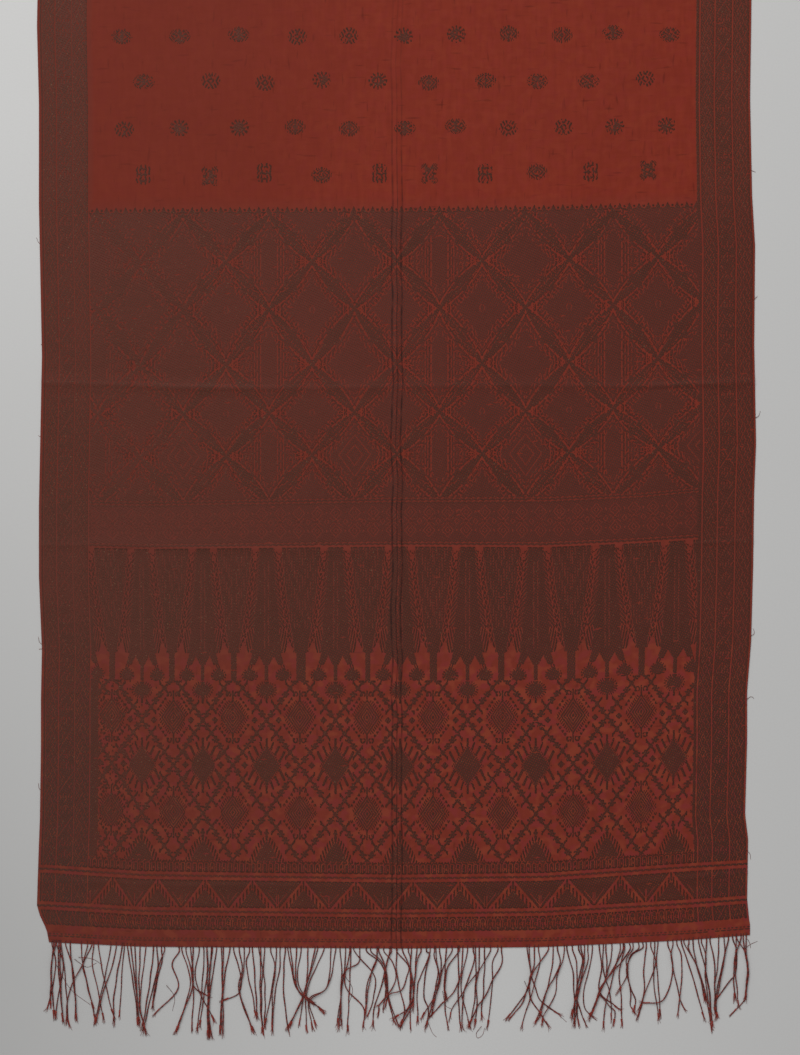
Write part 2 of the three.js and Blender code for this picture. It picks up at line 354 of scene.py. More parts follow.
def metalThreadMaterial():
    # silk wound with gilt metal, tarnished: a dull brown with a faint metal glint along each thread
    material, tree, shader = newMaterial("tarnishedGiltThread", 0.55, 0.16, metallic=0.06)
    colour = stained(tree, metalThread["dark"], metalThread["stains"])
    # fine slanting rows where the silk warp ties the floats down
    axis = addNode(tree, "ShaderNodeSeparateXYZ", [flatPlace(tree)])
    x, y = axis["X"], axis["Y"]
    slant = addNode(tree, "ShaderNodeMath", [x, y], operation="ADD")[0]
    ties = ripple(tree, slant, metalThread["tiePitch"], "SINE")
    colour = stain(tree, colour, metalThread["warm"], (ties, 0, 1, 0, 0.3))
    # where the ground shows between the threads, the float's tone is redder; floatShade lays painted shade on
    # thin lines and edges
    for attribute, tint in (("floatTone", "warm"), ("floatShade", "edge")):
        share = addNode(tree, "ShaderNodeAttribute", attribute_name=attribute)["Fac"]
        colour = stain(tree, colour, metalThread[tint], share)
    # dirt has settled in the lower end of both side borders
    aside = addNode(tree, "ShaderNodeMath", [x], operation="ABSOLUTE")[0]
    colour = stain(tree, colour, metalThread["dirt"], (aside, 0.355, 0.365, 0, 1), (y, 0.40, 0.15, 0, 0.4))
    # the right half of the end panel is less worn, its thread darker against the silk
    colour = stain(tree, colour, metalThread["unworn"], (x, -0.3, 0.1, 0, 0.34), (y, 0.84, 0.9, 1, 0.4))
    return finishCloth(material, tree, shader, colour, 0.8, metalThread["dull"],
                       ripple(tree, y, thread, "COSINE"), metalThread["threadBump"])


def readTable(items, label, kind=np.float32, wide=1):
    values = np.empty(len(items) * wide, kind)
    items.foreach_get(label, values)
    return values


def storeTable(mesh, label, values, kind="FLOAT"):
    data = mesh.attributes.new(label, kind, "POINT").data
    data.foreach_set("value" if kind == "FLOAT" else "vector", np.asarray(values, np.float32).ravel())


def storeFlatPlace(mesh, flat):
    # carries the flat cloth's place in metres
    storeTable(mesh, "flatPlace", np.column_stack((flat * mm, np.zeros(len(flat)))), "FLOAT_VECTOR")


def finishMesh(mesh, bake):
    # OFBake is a map without overlaps, given for each corner; everything is smooth
    for layer in list(mesh.uv_layers):
        mesh.uv_layers.remove(layer)
    mesh.uv_layers.new(name="OFBake").data.foreach_set("uv", np.asarray(bake, np.float32).ravel())
    mesh.polygons.foreach_set("use_smooth", np.ones(len(mesh.polygons), bool))
    mesh.validate()
    mesh.update()


# The sheet itself: a thin closed cloth that follows the lay, finer at the folds
sheetPiece = {
    # all in mm
    "stepAcross": 10, "stepUp": 6.0,
    "creaseStep": 1.6, "creaseReach": 14,
    "rim": 0.5,
    "hemFold": 14,             # how far in the far hem is doubled
}


def stations(low, high, step, creases):
    places = list(np.linspace(low, high, int(round((high - low) / step)) + 1))
    fine, reach = sheetPiece["creaseStep"], sheetPiece["creaseReach"]
    for crease in creases:
        places = [p for p in places if abs(p - crease) > reach]
        places += list(np.arange(crease - reach, crease + reach + fine / 2, fine))
    places += [low + sheetPiece["rim"], high - sheetPiece["rim"]]
    return np.array(sorted(p for p in places if low <= p <= high))


def makeSheet(material):
    length = weave["clothLength"]
    across = stations(flatLeft, flatRight, sheetPiece["stepAcross"], [longCrease["x"]])
    ups = stations(0, length, sheetPiece["stepUp"], [c[0] for c in crossCreases])
    gridX, gridY = np.meshgrid(across, ups)
    flat = np.stack((gridX.ravel(), gridY.ravel()), axis=-1)
    foldUp = length - sheetPiece["hemFold"]
    farHem = smooth(foldUp, foldUp + 2, flat[:, 1]) * weave["sheetThickness"]
    top = lay(*flat.T, weave["sheetThickness"] + farHem)
    under = lay(*flat.T, 0)
    columns, rows, layer = len(across), len(ups), len(flat)
    corner = (np.arange(rows - 1)[:, None] * columns + np.arange(columns - 1)[None, :]).ravel()
    topFaces = np.stack((corner, corner + 1, corner + columns + 1, corner + columns), axis=-1)
    rim = np.concatenate((
        np.arange(columns - 1), np.arange(rows - 1) * columns + columns - 1,
        (rows - 1) * columns + np.arange(columns - 1, 0, -1), np.arange(rows - 1, 0, -1) * columns))
    following = np.roll(rim, -1)
    rimFaces = np.stack((rim, rim + layer, following + layer, following), axis=-1)
    faces = np.concatenate((topFaces, topFaces[:, ::-1] + layer, rimFaces)).astype(np.int32)
    share = (flat - (flatLeft, 0)) / (flatRight - flatLeft, length)
    bake = np.concatenate((share * (0.49, 0.98) + (0.005, 0.01), share * (0.49, 0.98) + (0.505, 0.01)))
    mesh = bpy.data.meshes.new("silkCloth")
    mesh.vertices.add(2 * layer)
    mesh.vertices.foreach_set("co", np.concatenate((top, under)).astype(np.float32).ravel())
    mesh.loops.add(faces.size)
    mesh.loops.foreach_set("vertex_index", faces.ravel())
    mesh.polygons.add(len(faces))
    mesh.polygons.foreach_set("loop_start", np.arange(0, faces.size, 4, dtype=np.int32))
    mesh.update(calc_edges=True)
    storeFlatPlace(mesh, np.concatenate((flat, flat)))
    finishMesh(mesh, bake[faces.ravel()])
    mesh.materials.append(material)
    return placed("silkCloth", mesh)


# The draft: each band says where the brown pattern thread lies on top, as the weaver lifts it
columnsPerEnd = weave["columnsPerEnd"]
columnCount = (weave["rightEnd"] - weave["leftEnd"]) * columnsPerEnd
ends = (weave["leftEnd"] + (np.arange(columnCount) + 0.5) / columnsPerEnd)[None, :]
pickCount = int(weave["clothLength"] / thread)

# Places read off the cloth, in ends from the middle, thick and thin stems in turn from the left
stems = np.array([-316, -285.5, -254.9, -223, -193.7, -163.8, -129.9, -96.8, -61, -29.5, 3.5, 36.5, 71.1, 106,
                  139.2, 176.5, 210.5, 245.5, 279.5, 314.5])
thinStems, thickStems = stems[0::2], stems[1::2]
latticeColumns = np.array([-342.5, -256.5, -170.5, -84.5, 0.5, 85.5, 172.5, 260.5, 347.5])
latticeRows = np.array([448.5, 495.5, 537.5, 585.5, 640.5, 687.5, 734.5])
latticeCell = (43, 47.5)       # half a cell's width in ends and half its height in picks
chainRows = np.array([40.5, 86.5, 133.5, 182.5, 228, 273.5, 319.5])
tumpalPeaks = np.array([-327.5, -283, -238.5, -191.5, -144, -93, -40.5, 16.5, 63.5, 116.5, 170.5, 224.1,
                        276.5, 330])
borderRepeat = 46              # picks between two crossings in the side borders
fineLine, finePitch = 0.34, 2.67       # ends: the thinnest line, and the pitch of fine hatching

bands = {
    # first and last pick of each band, from the hem up
    "endBand": (0, 17), "hookRow": (17, 31), "lowStripe": (31, 39), "tumpal": (39, 66),
    "highStripe": (66, 74), "archRow": (74, 86), "lowerPanel": (86, 268), "spires": (268, 402),
    "doubleLine": (402, 408), "lozengeRow": (408, 446), "thinLines": (446, 453), "lattice": (453, 736),
    "teeth": (736, 746), "field": (746, pickCount),
}
panelEnds = (-307, 300)


def picksOf(band):
    first, last = bands[band]
    return np.arange(first, last)[:, None] + 0.5


def line(value, width):
    return np.abs(value) < width / 2


def every(value, pitch, width):
    # true for the first part of each repeat
    return np.mod(value, pitch) < width


def someOf(p, count):
    # a line that only some of the picks are parted for shows faintly
    return every(np.floor(p), count, count - 1)


def nearest(table, values):
    # index of and distance from the nearest of a sorted table of places
    index = np.clip(np.searchsorted(table, values), 1, len(table) - 1)
    index = index - (values - table[index - 1] < table[index] - values)
    return index, values - table[index]


def wave(values, pitch):
    # a zigzag between 0 and 1 and back over one pitch
    t = np.mod(values / pitch, 1)
    return 1 - np.abs(2 * t - 1)


def toSegment(e, p, start, stop):
    # distance from a straight line between two places
    along = (stop[0] - start[0], stop[1] - start[1])
    length = along[0] ** 2 + along[1] ** 2
    t = np.clip(((e - start[0]) * along[0] + (p - start[1]) * along[1]) / length, 0, 1)
    return np.hypot(e - start[0] - t * along[0], p - start[1] - t * along[1])


lineBands = {
    # lines right across, brown in red or red in brown: pick, width, and one end in so many left out
    "endBand": ("brown", (6.5, 1, 0), (8.5, 1, 4)),
    "lowStripe": ("brown", (35, 1.2, 0)),
    "highStripe": ("brown", (70, 1.2, 0)),
    "doubleLine": ("red", (403, 1.6, 0), (406.5, 1, 8)),
    "thinLines": ("red", (448.5, 1, 8), (451.5, 1, 4)),
}


def draftLines(band):
    above, *linesHere = lineBands[band]
    drawn = np.zeros((1, columnCount), bool)
    for pick, width, count in linesHere:
        broken = count and ~every(ends, count, count - 1)
        drawn = drawn | (line(picksOf(band) - pick, width) & np.logical_not(broken))
    return drawn if above == "brown" else ~drawn


def draftHookRow():
    p = picksOf("hookRow")
    q = p - bands["hookRow"][0]
    c = np.mod(ends, 7.5) - 3.75
    red = line(np.abs(c) - 2.6, 0.67) & within(q, 2.5, 9.5)
    red |= line(np.hypot(c, (q - 9.5) * 0.9) - 2.6, 0.75) & (q >= 9.5)
    red |= line(np.hypot(c - 0.6, q - 6.5) - 1.4, 0.7)
    red |= line(c, 0.67) & within(q, 1, 4) | (line(np.abs(c) - 3.6, 0.4) & (q > 10))
    return ~red


def draftArchRow():
    p = picksOf("archRow")
    q = p - bands["archRow"][0]
    c = np.mod(ends, 5.85) - 2.925
    leg = line(np.abs(c) - 1.9, 0.67) & within(q, 1, 8)
    head = line(np.hypot(c, (q - 8) * 1.15) - 1.9, 0.75) & (q >= 8)
    drop = (np.hypot(c, (q - 4.2) * 0.55) < 0.75) & every(np.floor(ends / 5.85), 2, 1)
    crown = line(q - 11.2, 0.7) & every(ends, 2.9, 1.5)
    return ~(leg | head | drop | crown)


def draftTumpal():
    # a row of red peaks with hanging teeth, dark between
    first, last = bands["tumpal"]
    p = picksOf("tumpal")
    down = (last - p) / (last - first)
    index, de = nearest(tumpalPeaks, ends)
    gap = np.interp(np.arange(len(tumpalPeaks)), np.arange(len(tumpalPeaks) - 1) + 0.5, np.diff(tumpalPeaks))
    side = np.abs(de) * 50 / gap[index]           # as if each peak were 50 ends wide
    inward = 1.4 + 22.0 * down - side
    tooth = every(side, 3.4, 1.5)
    red = within(inward, 0, 2.6) | ((inward >= 2.6) & (inward < 8.6) & tooth)
    red &= ~((side < 1.0) & (down < 0.3))
    diaper = every(0.8 * side + p, 4.0, 0.8) & every(0.8 * side - p, 4.0, 0.8)
    red |= (inward < -2.5) & diaper & (down > 0.25)
    between = 25 - side
    red |= (inward < -1.5) & line(p - first - 3 - 1.3 * between, 0.8) & (between < 9)
    red |= (inward < -1.5) & line(between - 0.6, 0.5) & (down > 0.5)
    return ~red


def stamp(panel, firstPick, centreEnd, centrePick, reach, shape, red=False):
    # draws one small figure: shape gets the ends and picks counted from the figure's own middle
    low = max(int(centrePick - firstPick - reach), 0)
    high = min(int(centrePick - firstPick + reach) + 1, len(panel))
    left = max(int((centreEnd - reach - weave["leftEnd"]) * columnsPerEnd), 0)
    right = min(int((centreEnd + reach - weave["leftEnd"]) * columnsPerEnd), columnCount)
    if low >= high or left >= right:
        return
    de = ends[:, left:right] - centreEnd
    dp = (np.arange(low, high) + 0.5 + firstPick - centrePick)[:, None]
    figure = shape(de, dp)
    window = panel[low:high, left:right]
    if red:
        window &= ~figure
    else:
        window |= figure


def knot(de, dp):
    # a small X with upright feet: the chains are made of them, and they part the red ground into blobs
    x, y = np.abs(de), np.abs(dp)
    arms = (np.abs(x * 1.25 - y) < 1.75) & (x < 4.6)
    feet = (np.abs(x - 4.4) < 0.85) & within(y, 3.6, 7.4)
    return arms | feet | (x + y < 3.0)


def bead(de, dp):
    # between two knots the chain swells to a short bar with a barb to each side
    x, y = np.abs(de), np.abs(dp)
    return ((x < 1.9) & (y < 3.4)) | ((x < 4.1) & (y < 1.0))


def barbedDisc(de, dp):
    d = np.hypot(de / 7.6, dp / 6.2)
    rays = every(np.arctan2(dp, np.abs(de)) * 24 / (2 * np.pi) + 0.25, 1, 0.5)
    stalks = line(de, 2.4) & within(dp, -13.5, 0) | line(de, 3.8) & within(dp, 0, 9)
    return (d < 1) | ((d < 1.45) & rays) | stalks


def roundDrop(de, dp):
    return np.hypot(de / 3.6, dp / 4.6) < 1


def squareSpot(de, dp):
    return (np.abs(de) + np.abs(dp) < 8.6) & (np.abs(de) < 6.0) & (np.abs(dp) < 5.2)


def flowerEye(de, dp):
    return np.abs(de) + np.abs(dp) < 3.7


def fineDiamond(de, dp):
    # diamonds inside a diamond, a ring of small barbs outside, with a stem and curls at the top and foot
    x, y = np.abs(de), np.abs(dp)
    d = x / 13.8 + y / 20
    rings = (d < 0.99) & every(d * 5.0 + 0.12, 1, 0.76)
    along = (x / 13.8 - y / 20) * 12
    barbs = within(d, 0.96, 1.26) & every(along, 2.4, 1.3) & (y < 17)
    stem = (x < 1.0) & within(y, 17, 27)
    curl = (np.abs(np.hypot(x - 4.2, (y - 23.0) * 0.9) - 2.2) < 0.8) & (y > 21)
    hooks = within(d, 1.38, 1.62) & every(along + 1.2, 4.2, 1.9) & within(y, 6, 24)
    hooks |= within(d, 1.5, 1.62) & every(along + 1.2, 4.2, 3.1) & within(y, 6, 24)
    return rings | barbs | stem | curl | hooks


def largeStar(de, dp):
    # a plain core with a serrated edge, and two steep leaves that stand off each side
    x, y = np.abs(de), np.abs(dp)
    d = x / 14.4 + y / 20
    along = (x / 14.4 - y / 20) * 12
    serrated = within(d, 0.92, 1.12) & every(along, 2.0, 1.15)
    leaves = toSegment(x, y, (13.2, 4.6), (17.6, 13.6)) < 1.45
    leaves |= toSegment(x, y, (8.6, 11.2), (12.2, 19.0)) < 1.35
    small = toSegment(x, y, (4.6, 17.0), (6.6, 23.0)) < 1.0
    stem = (x < 1.2) & within(y, 18, 28)
    return (d < 0.95) | serrated | leaves | small | stem


def halfFan(de, dp):
    # a dome on the panel's foot: plain in the middle, upright barbs down both flanks, a stalk on top
    x, y = np.abs(de), dp
    dome = (x / 17.5) ** 1.4 + (np.maximum(y, 0) / 26) ** 1.25
    core = (x / 11) ** 1.5 + (np.maximum(y, 0) / 19) ** 1.2
    barbs = every(x - 0.25 * y, 3.1, 1.9)
    stalk = (x < 1.2) & within(y, 20, 32)
    return (y > 0) & ((core < 1) | ((dome < 1) & barbs) | stalk | (x + np.abs(y - 28) < 3.0))


def draftLowerPanel():
    first, last = bands["lowerPanel"]
    brown = np.zeros((last - first, columnCount), bool)
    # chains along the sides of a diamond grid: knots at the crossings and between them, parted by beads
    chain = ((-1, knot), (-0.72, bead), (-0.42, knot), (-0.14, bead),
             (0.14, bead), (0.42, knot), (0.72, bead))
    for i, (left, right) in enumerate(zip(stems, stems[1:])):
        for j, (low, high) in enumerate(zip(chainRows, chainRows[1:])):
            half = (right - left) / 2, (high - low) / 2
            middle = left + half[0], low + half[1]
            top = (half[0] if (i + j) % 2 == 0 else -half[0], half[1])
            foot = (-top[0], -top[1])
            stamp(brown, first, *middle, 28, lambda de, dp: toSegment(de, dp, foot, top) < 1.0)
            for t, shape in chain:
                stamp(brown, first, middle[0] + t * top[0], middle[1] + t * top[1], 9, shape)
    for end in thinStems:
        stamp(brown, first, end, 240, 6, roundDrop, red=True)
        stamp(brown, first, end, 258.5, 15, barbedDisc)
        stamp(brown, first, end, 182, 30, largeStar)
        stamp(brown, first, end, first, 34, halfFan)
    for end in thickStems:
        stamp(brown, first, end, 231, 28, fineDiamond)
        stamp(brown, first, end, 134.5, 28, fineDiamond)
    # red flowers stand left and right of each crossing, plain squares in the lower row
    for table, pick, eyed in ((thinStems, 228, True), (thickStems, 182.5, True), (thinStems, 133.5, False)):
        for end in table:
            for side in (-12, 12):
                stamp(brown, first, end + side, pick, 9, squareSpot, red=True)
                if eyed:
                    stamp(brown, first, end + side, pick, 6, flowerEye)
    # the pattern ends in a plain strip beside the left border, and is fuzzed over near it
    fuzzed = 0.2 * smooth(-235, -300, ends)
    return brown | (ends < panelEnds[0] + 8) | (tufts(brown.shape, 9) < fuzzed)


def draftSpires():
    q = picksOf("spires")
    index, de = nearest(thinStems, ends)
    gap = np.interp(thinStems[index], (thinStems[1:] + thinStems[:-1]) / 2, np.diff(thinStems))
    s = np.abs(de) * 68 / gap                     # as if each repeat were 68 ends wide
    r = 34 - s
    fall = np.clip((401 - q) / 88, 0, 1.6)        # 0 at the top of the band
    border = 12.6 + 10.8 * fall ** 1.25
    # a chain of small lozenges between two broken lines runs down each side
    link = np.mod(q, 9.5) - 4.75
    redLine = line(s - border + 2.6, 0.8) & every(q, 9.5, 7.8)
    redLine |= line(s - border - 2.6, 0.5) & every(q + 4, 9.5, 6.6)
    lozenge = line(np.abs(s - border) / 2.6 + np.abs(link) / 4.75 - 0.8, 0.3)
    # barbs slant up and inward from the chain, longer lower down, and hang near the foot
    inward = border - 2.6 - s
    barb = (inward > 0) & (inward < 3.2 + 2.6 * smooth(400, 330, q)) & every(q - 1.6 * inward, 5.2, 0.9)
    hung = within(inward, -1, 7.5) & every(inward + 0.34 * q, 2.6, 0.67) & (q < 322)
    red = (redLine | lozenge | (barb & (q > 318)) | hung) & (q > 296)
    # rounded heads of the spires, under a red cap
    cap = within(s, 8, 14.5) & (q > 398.6 - 0.4 * np.maximum(s - 9, 0))
    red |= cap | (line(s - 12.6, 2.4) & (q > 389) & every(q, 4, 3))
    # vertical hatching in the hanging triangles, a pair of midlines in the spires
    hanging = (s > border + 3) & (q > 318)
    hatch = every(r + 40, finePitch, fineLine) & every(q * 0.9 + np.floor(r / finePitch) * 17, 23, 15)
    red |= hanging & hatch & someOf(q, 3)
    red |= line(s - 1.9, fineLine) & within(q, 300, 388) & someOf(q, 3)
    brown = ~red
    # red flames rise between the points, and below them all is red ground but for stems, stalks and buds
    flame = np.abs(r - 10.6) < 5.9 * smooth(309, 289, q) ** 0.8
    smallFlame = np.abs(s - 7.4) < 5.4 * smooth(293, 279, q) ** 0.7
    brown &= ~flame & ~smallFlame
    stem = np.abs(r) < 3.6
    stalk = toSegment(s, q, (11.5, 300), (17.6, 279))
    bud = np.hypot((s - 17.2) / 6.4, (q - 273.2) / 5.6)
    budRim = within(bud, 1, 1.32) & every(np.arctan2(q - 273.2, s - 17.2) * 2.6, 1, 0.5)
    parts = stem | (s < 2.0) | (stalk < 1.9) | (bud < 1) | budRim
    parts &= ~((stalk < 0.5) & within(q, 281, 299))
    brown = np.where(q < 284, parts, brown | (stem & (q < 322)) | ((s < 1.5) & (q < 303)))
    besideFlame = within(q, 283, 296) & within(s, 14, 31) & ~(stalk < 1.9)
    return brown & ~(besideFlame & (r > 3.6))


def draftLozengeRow():
    p = picksOf("lozengeRow")
    c = np.mod(ends - 51 + 9.3, 18.6) - 9.3
    half = np.mod(ends - 51, 18.6) - 9.3
    red = np.zeros(np.broadcast(ends, p).shape, bool)
    for row in (437.5, 419):
        d = np.abs(c) / 5.8 + np.abs(p - row) / 6.6
        red |= line(d - 1, 0.10)
        red |= line(d - 0.42, 0.09)
    red |= line(np.abs(p - 428.3) - 1.0 - 0.75 * np.abs(np.abs(c) - 2), 0.6) & (np.abs(c) < 6)
    red |= line(np.abs(half) + np.abs(p - 428.3) * 0.8 - 2.2, 0.5)
    red |= (np.abs(half) < 0.5) & line(np.abs(p - 428.3) - 9.5, 1.6)
    return ~red


def latticeAt(e, p):
    # the diamond grid: steps from the nearest middle, where it is, the distance d and the leaf's width
    a = np.interp(e, latticeColumns, np.arange(len(latticeColumns)) * 2.0)
    b = np.interp(p, latticeRows, np.arange(len(latticeRows)) * 1.0)
    # middles have an odd sum of steps, crossings an even one
    s1, s2 = np.floor((a + b + 1) / 2), np.floor((a - b + 1) / 2)
    da, db = a - s1 - s2, b - s1 + s2
    d = np.abs(da) + np.abs(db)
    t = np.clip((np.abs(da) - np.abs(db) + 1) / 2, 0, 1)
    leaf = 0.06 + 0.14 * np.sin(np.pi * t) ** 0.85
    return da, db, s1 + s2, s1 - s2, d, leaf


def tufts(shape, seed):
    # even chance numbers, the same over two picks and a few columns, to wear small patches of the pattern
    chances = np.random.default_rng(seed).random((shape[0] // 2 + 1, shape[1] // 4 + 1))
    return chances.repeat(2, 0).repeat(4, 1)[:shape[0], :shape[1]]


def draftLattice():
    p = picksOf("lattice")
    da, db, centreA, centreB, d, leaf = latticeAt(ends, p)
    dx, dy = np.abs(da) * latticeCell[0], np.abs(db) * latticeCell[1]
    t = (np.abs(da) - np.abs(db) + 1) / 2
    # leaves run along the grid's lines from crossing to crossing, thin red curves on both their sides
    gapAlong = np.mod(t * 9 + 0.3 * np.mod(centreA * 3 + centreB, 5), 1)
    nearCrossing = np.abs(2 * t - 1) ** 5
    red = line(1 - d - leaf, 0.042 + 0.02 * nearCrossing) & (gapAlong < 0.86) & (np.abs(t - 0.5) > 0.05)
    vein = line(1 - d - 0.45 * leaf - 0.02 * wave(t, 0.08), 0.016) & every(t * 13 + centreA, 1, 0.5)
    red |= vein & (np.abs(t - 0.5) < 0.36) & every(centreA + 2 * centreB, 3, 1)
    hatched = (1 - d < 0.8 * leaf) & every(centreA + centreB, 4, 1)
    red |= hatched & every(dx * 0.9 + dy, 4.4, 0.7) & someOf(p, 2)
    # small ticks inside each cell's edge
    tick = line(1 - d - leaf - 0.085 - 0.07 * wave(t, 0.11), 0.024)
    red |= tick & within(t, 0.14, 0.86) & (gapAlong > 0.3)
    hook = line(1 - d - leaf - 0.19 - 0.05 * wave(t + 0.03, 0.09), 0.018)
    red |= hook & within(t, 0.2, 0.8) & (gapAlong < 0.55)
    inRows = np.mod(centreB, 2) == 1
    bars = inRows & (np.mod(centreA, 4) == 1)
    diamonds = inRows & ~bars
    nested = diamonds & (np.abs(centreB - 1) < 0.5)
    ovals = ~inRows
    # bar figure: a plain upright bar between fine lines, shrinking ticks and a small triangle at each side
    tall = 30 - dx * 0.75
    for place, width in ((8.5, 0.9), (11.7, 0.67), (14.5, 0.5)):
        red |= bars & line(dx - place, width) & (dy < tall) & every(dy + place, 9, 7.6)
    beads = every(dx - 17.2, 3.1, 0.5) | line(np.mod(dy, 4) - 2 - 0.8 * wave(dx, 3.1), 0.7)
    red |= bars & within(dx, 16.5, 30) & (dy < 11.5 - (dx - 17) * 0.6) & beads & someOf(p + dx / 3, 2)
    red |= bars & line(dy - (35 - dx) * 0.6, 0.6) & within(dx, 28, 35)
    red |= bars & line(dx * 0.55 + dy - 36 - 1.5 * wave(dx, 6), 0.6) & within(dx, 7, 22)
    # diamond figure: diamonds in diamonds in one row, elsewhere plain
    red |= nested & (line(dx / 8 + dy / 11 - 1, 0.075) | line(dx / 16 + dy / 22 - 1, 0.036))
    red |= diamonds & within(d, 0.62, 0.78) & every(dx + dy * 0.2, 3.6, 0.5) & (dy < 16)
    # oval figure: plain but for a tiny mark, and chevrons towards the crossings above and below
    chevron = dy + 1.2 * dx
    for place in (33, 38, 43):
        red |= ovals & (dy > 20) & within(dx, 1, 10) & line(chevron - place, 0.6)
    red |= ovals & line(np.hypot(dx * 1.4, dy) - 3.2, 0.5) & (dx > 0.6)
    red |= ovals & within(d, 0.6, 0.76) & every(dx - dy, 5.2, 0.8) & (dx > 9)
    outside = (d > 0.78) & (1 - d - leaf > 0.04)
    red |= line(np.mod(dx + 0.6 * dy, 6.4) - 3, 0.6) & outside & every(dy, 5, 3)
    # crossings: pairs of short upright lines at the left and right
    sideA = (1 - np.abs(da)) * latticeCell[0]
    red |= (line(sideA - 6.8, 1.5) & (dy < 4.6)) | (line(sideA - 11, 0.67) & (dy < 6.5))
    red |= line(sideA - 9 - dy * 0.55, 0.6) & within(dy, 3, 9) & (gapAlong < 0.7)
    red |= nested & line(np.hypot(sideA - 15, dy * 1.25) - 3.6, 0.67)
    # the threads have fuzzed over the pattern on the left and at the top
    fuzzedLeft = smooth(-120, -290, ends) * (0.45 + 0.55 * smooth(560, 660, p))
    fuzzed = np.maximum(fuzzedLeft, 0.7 * smooth(695, 728, p))
    return ~red | (tufts(red.shape, 7) < 0.62 * fuzzed)


def draftTeeth():
    p = picksOf("teeth")
    q = p - bands["teeth"][0]
    c = np.mod(ends, 9.5) - 4.75
    arrow = np.abs(c) < 3.4 * (1 - q / 6.5)
    return arrow | ((np.abs(np.abs(c) - 4.4) < 0.9) & within(q, 2, 4)) | (q < 1.5)


field = {
    # scattered small figures: where the rows stand, in picks, and the figures in them, in ends
    "firstRow": 774, "rowPitch": 45.6,
    "evenRow": (-252, -187, -131, -73.5, -18.5, 33.5, 88, 141.5, 193.5, 250.5),
    "oddRow": (-273.5, -217.5, -156.5, -100.5, -48.5, 8.5, 60.5, 112, 166.5, 217, 272),
    "wander": 1.6,
    "wornShare": 0.13,
    "seed": 11,
}


def spokes(de, dp, count):
    # 0 on each of count rays round the middle, 0.5 between them
    return np.abs(np.mod(np.arctan2(dp, de) * count / (2 * np.pi) + 0.5, 1) - 0.5)


def spikedDiamond(de, dp):
    x, y = np.abs(de), np.abs(dp)
    reach = np.hypot(x / 9.8, y / 8.4)
    core = x / 7.4 + y / 6.4 < 1
    return core | ((reach < 1) & (spokes(de, dp, 12) < 0.27 + 0.1 * np.sin(3 * x + y)) & (reach > 0.4))


def ringedRosette(de, dp):
    x, y = np.abs(de), np.abs(dp)
    reach = np.hypot(x / 9.6, y / 8.2)
    core = (x + y * 1.1 < 4.6) & (x + y > 1.6)
    petals = within(reach, 0.50, 1) & every(x * 0.9 - y * 0.5 + 9.3, 3.3, 2.1)
    return core | petals


def slitOval(de, dp):
    x, y = np.abs(de), np.abs(dp)
    reach = np.hypot(x / 10.2, y / 7.2)
    slits = (line(x * 0.72 - y, 0.9) | line(x * 0.3 - y - 1.2, 0.6)) & (x > 1.6)
    return ((reach < 0.8) | ((reach < 1.05) & every(x + 0.8 * y, 2.6, 1.5))) & ~slits


def hatchedOval(de, dp):
    x, y = np.abs(de), np.abs(dp)
    reach = np.hypot(x / 10, y / 7.4)
    slits = every(x * 0.8 + y * 0.9, 2.9, 0.8) & (x > 0.9)
    return ((reach < 0.86) & ~slits) | ((reach >= 0.86) & (reach < 1.05) & every(x, 2.3, 1.2))


def lobedCross(de, dp):
    x, y = np.abs(de), np.abs(dp)
    lobes = np.hypot(x - 5, y - 6.2) < 3.6
    slits = every(x + y, 2.9, 0.7)
    return ((x < 4.4) & (y < 7)) | (lobes & ~slits) | ((x < 7) & (y < 1.4))


def barFigure(de, dp):
    # upright zigzag bars joined in the middle, the outer ones shorter
    x, y = np.abs(de), np.abs(dp)
    bars = every(x + 1.5 + 1.1 * wave(y + 1, 6), 3.6, 2.1) & (x < 7.4) & (y < 10.6 - 0.42 * x)
    return bars | ((y < 1.1) & (x < 6.4)) | ((np.abs(y - 6) < 0.8) & (x < 3))


def draftField():
    rng = np.random.default_rng(field["seed"])
    first = bands["field"][0]
    brown = np.zeros((pickCount - first, columnCount), bool)
    figures = (spikedDiamond, ringedRosette, slitOval, hatchedOval)
    footFigures = (barFigure, lobedCross, barFigure, hatchedOval)
    row, middle = 0, field["firstRow"]
    while middle < pickCount - 16:
        for k, end in enumerate(field["oddRow"] if row % 2 else field["evenRow"]):
            place = [at + rng.uniform(-1, 1) * field["wander"] for at in (end, middle)]
            chosen = footFigures[k % 4] if row == 0 else figures[(row + 3 * k + k // 2) % 4]
            stamp(brown, first, *place, 11, chosen)
        row += 1
        middle += field["rowPitch"]
    return brown & (tufts(brown.shape, 8) > field["wornShare"])


borders = (
    # side, red lines (end, width), columns of fine waves, middle column, selvage
    (1, ((303.7, 1.0), (318.8, 1.0), (336.4, 1.0)), ((305, 318), (337.2, 351.6)), (319.6, 335.6), 353.4),
    (-1, ((-307.6, 0.67), (-323.3, fineLine), (-339.3, 0.67), (-352.6, 0.4)),
     ((-322.6, -309), (-352.4, -340)), (-338.6, -323.9), -354.8),
)


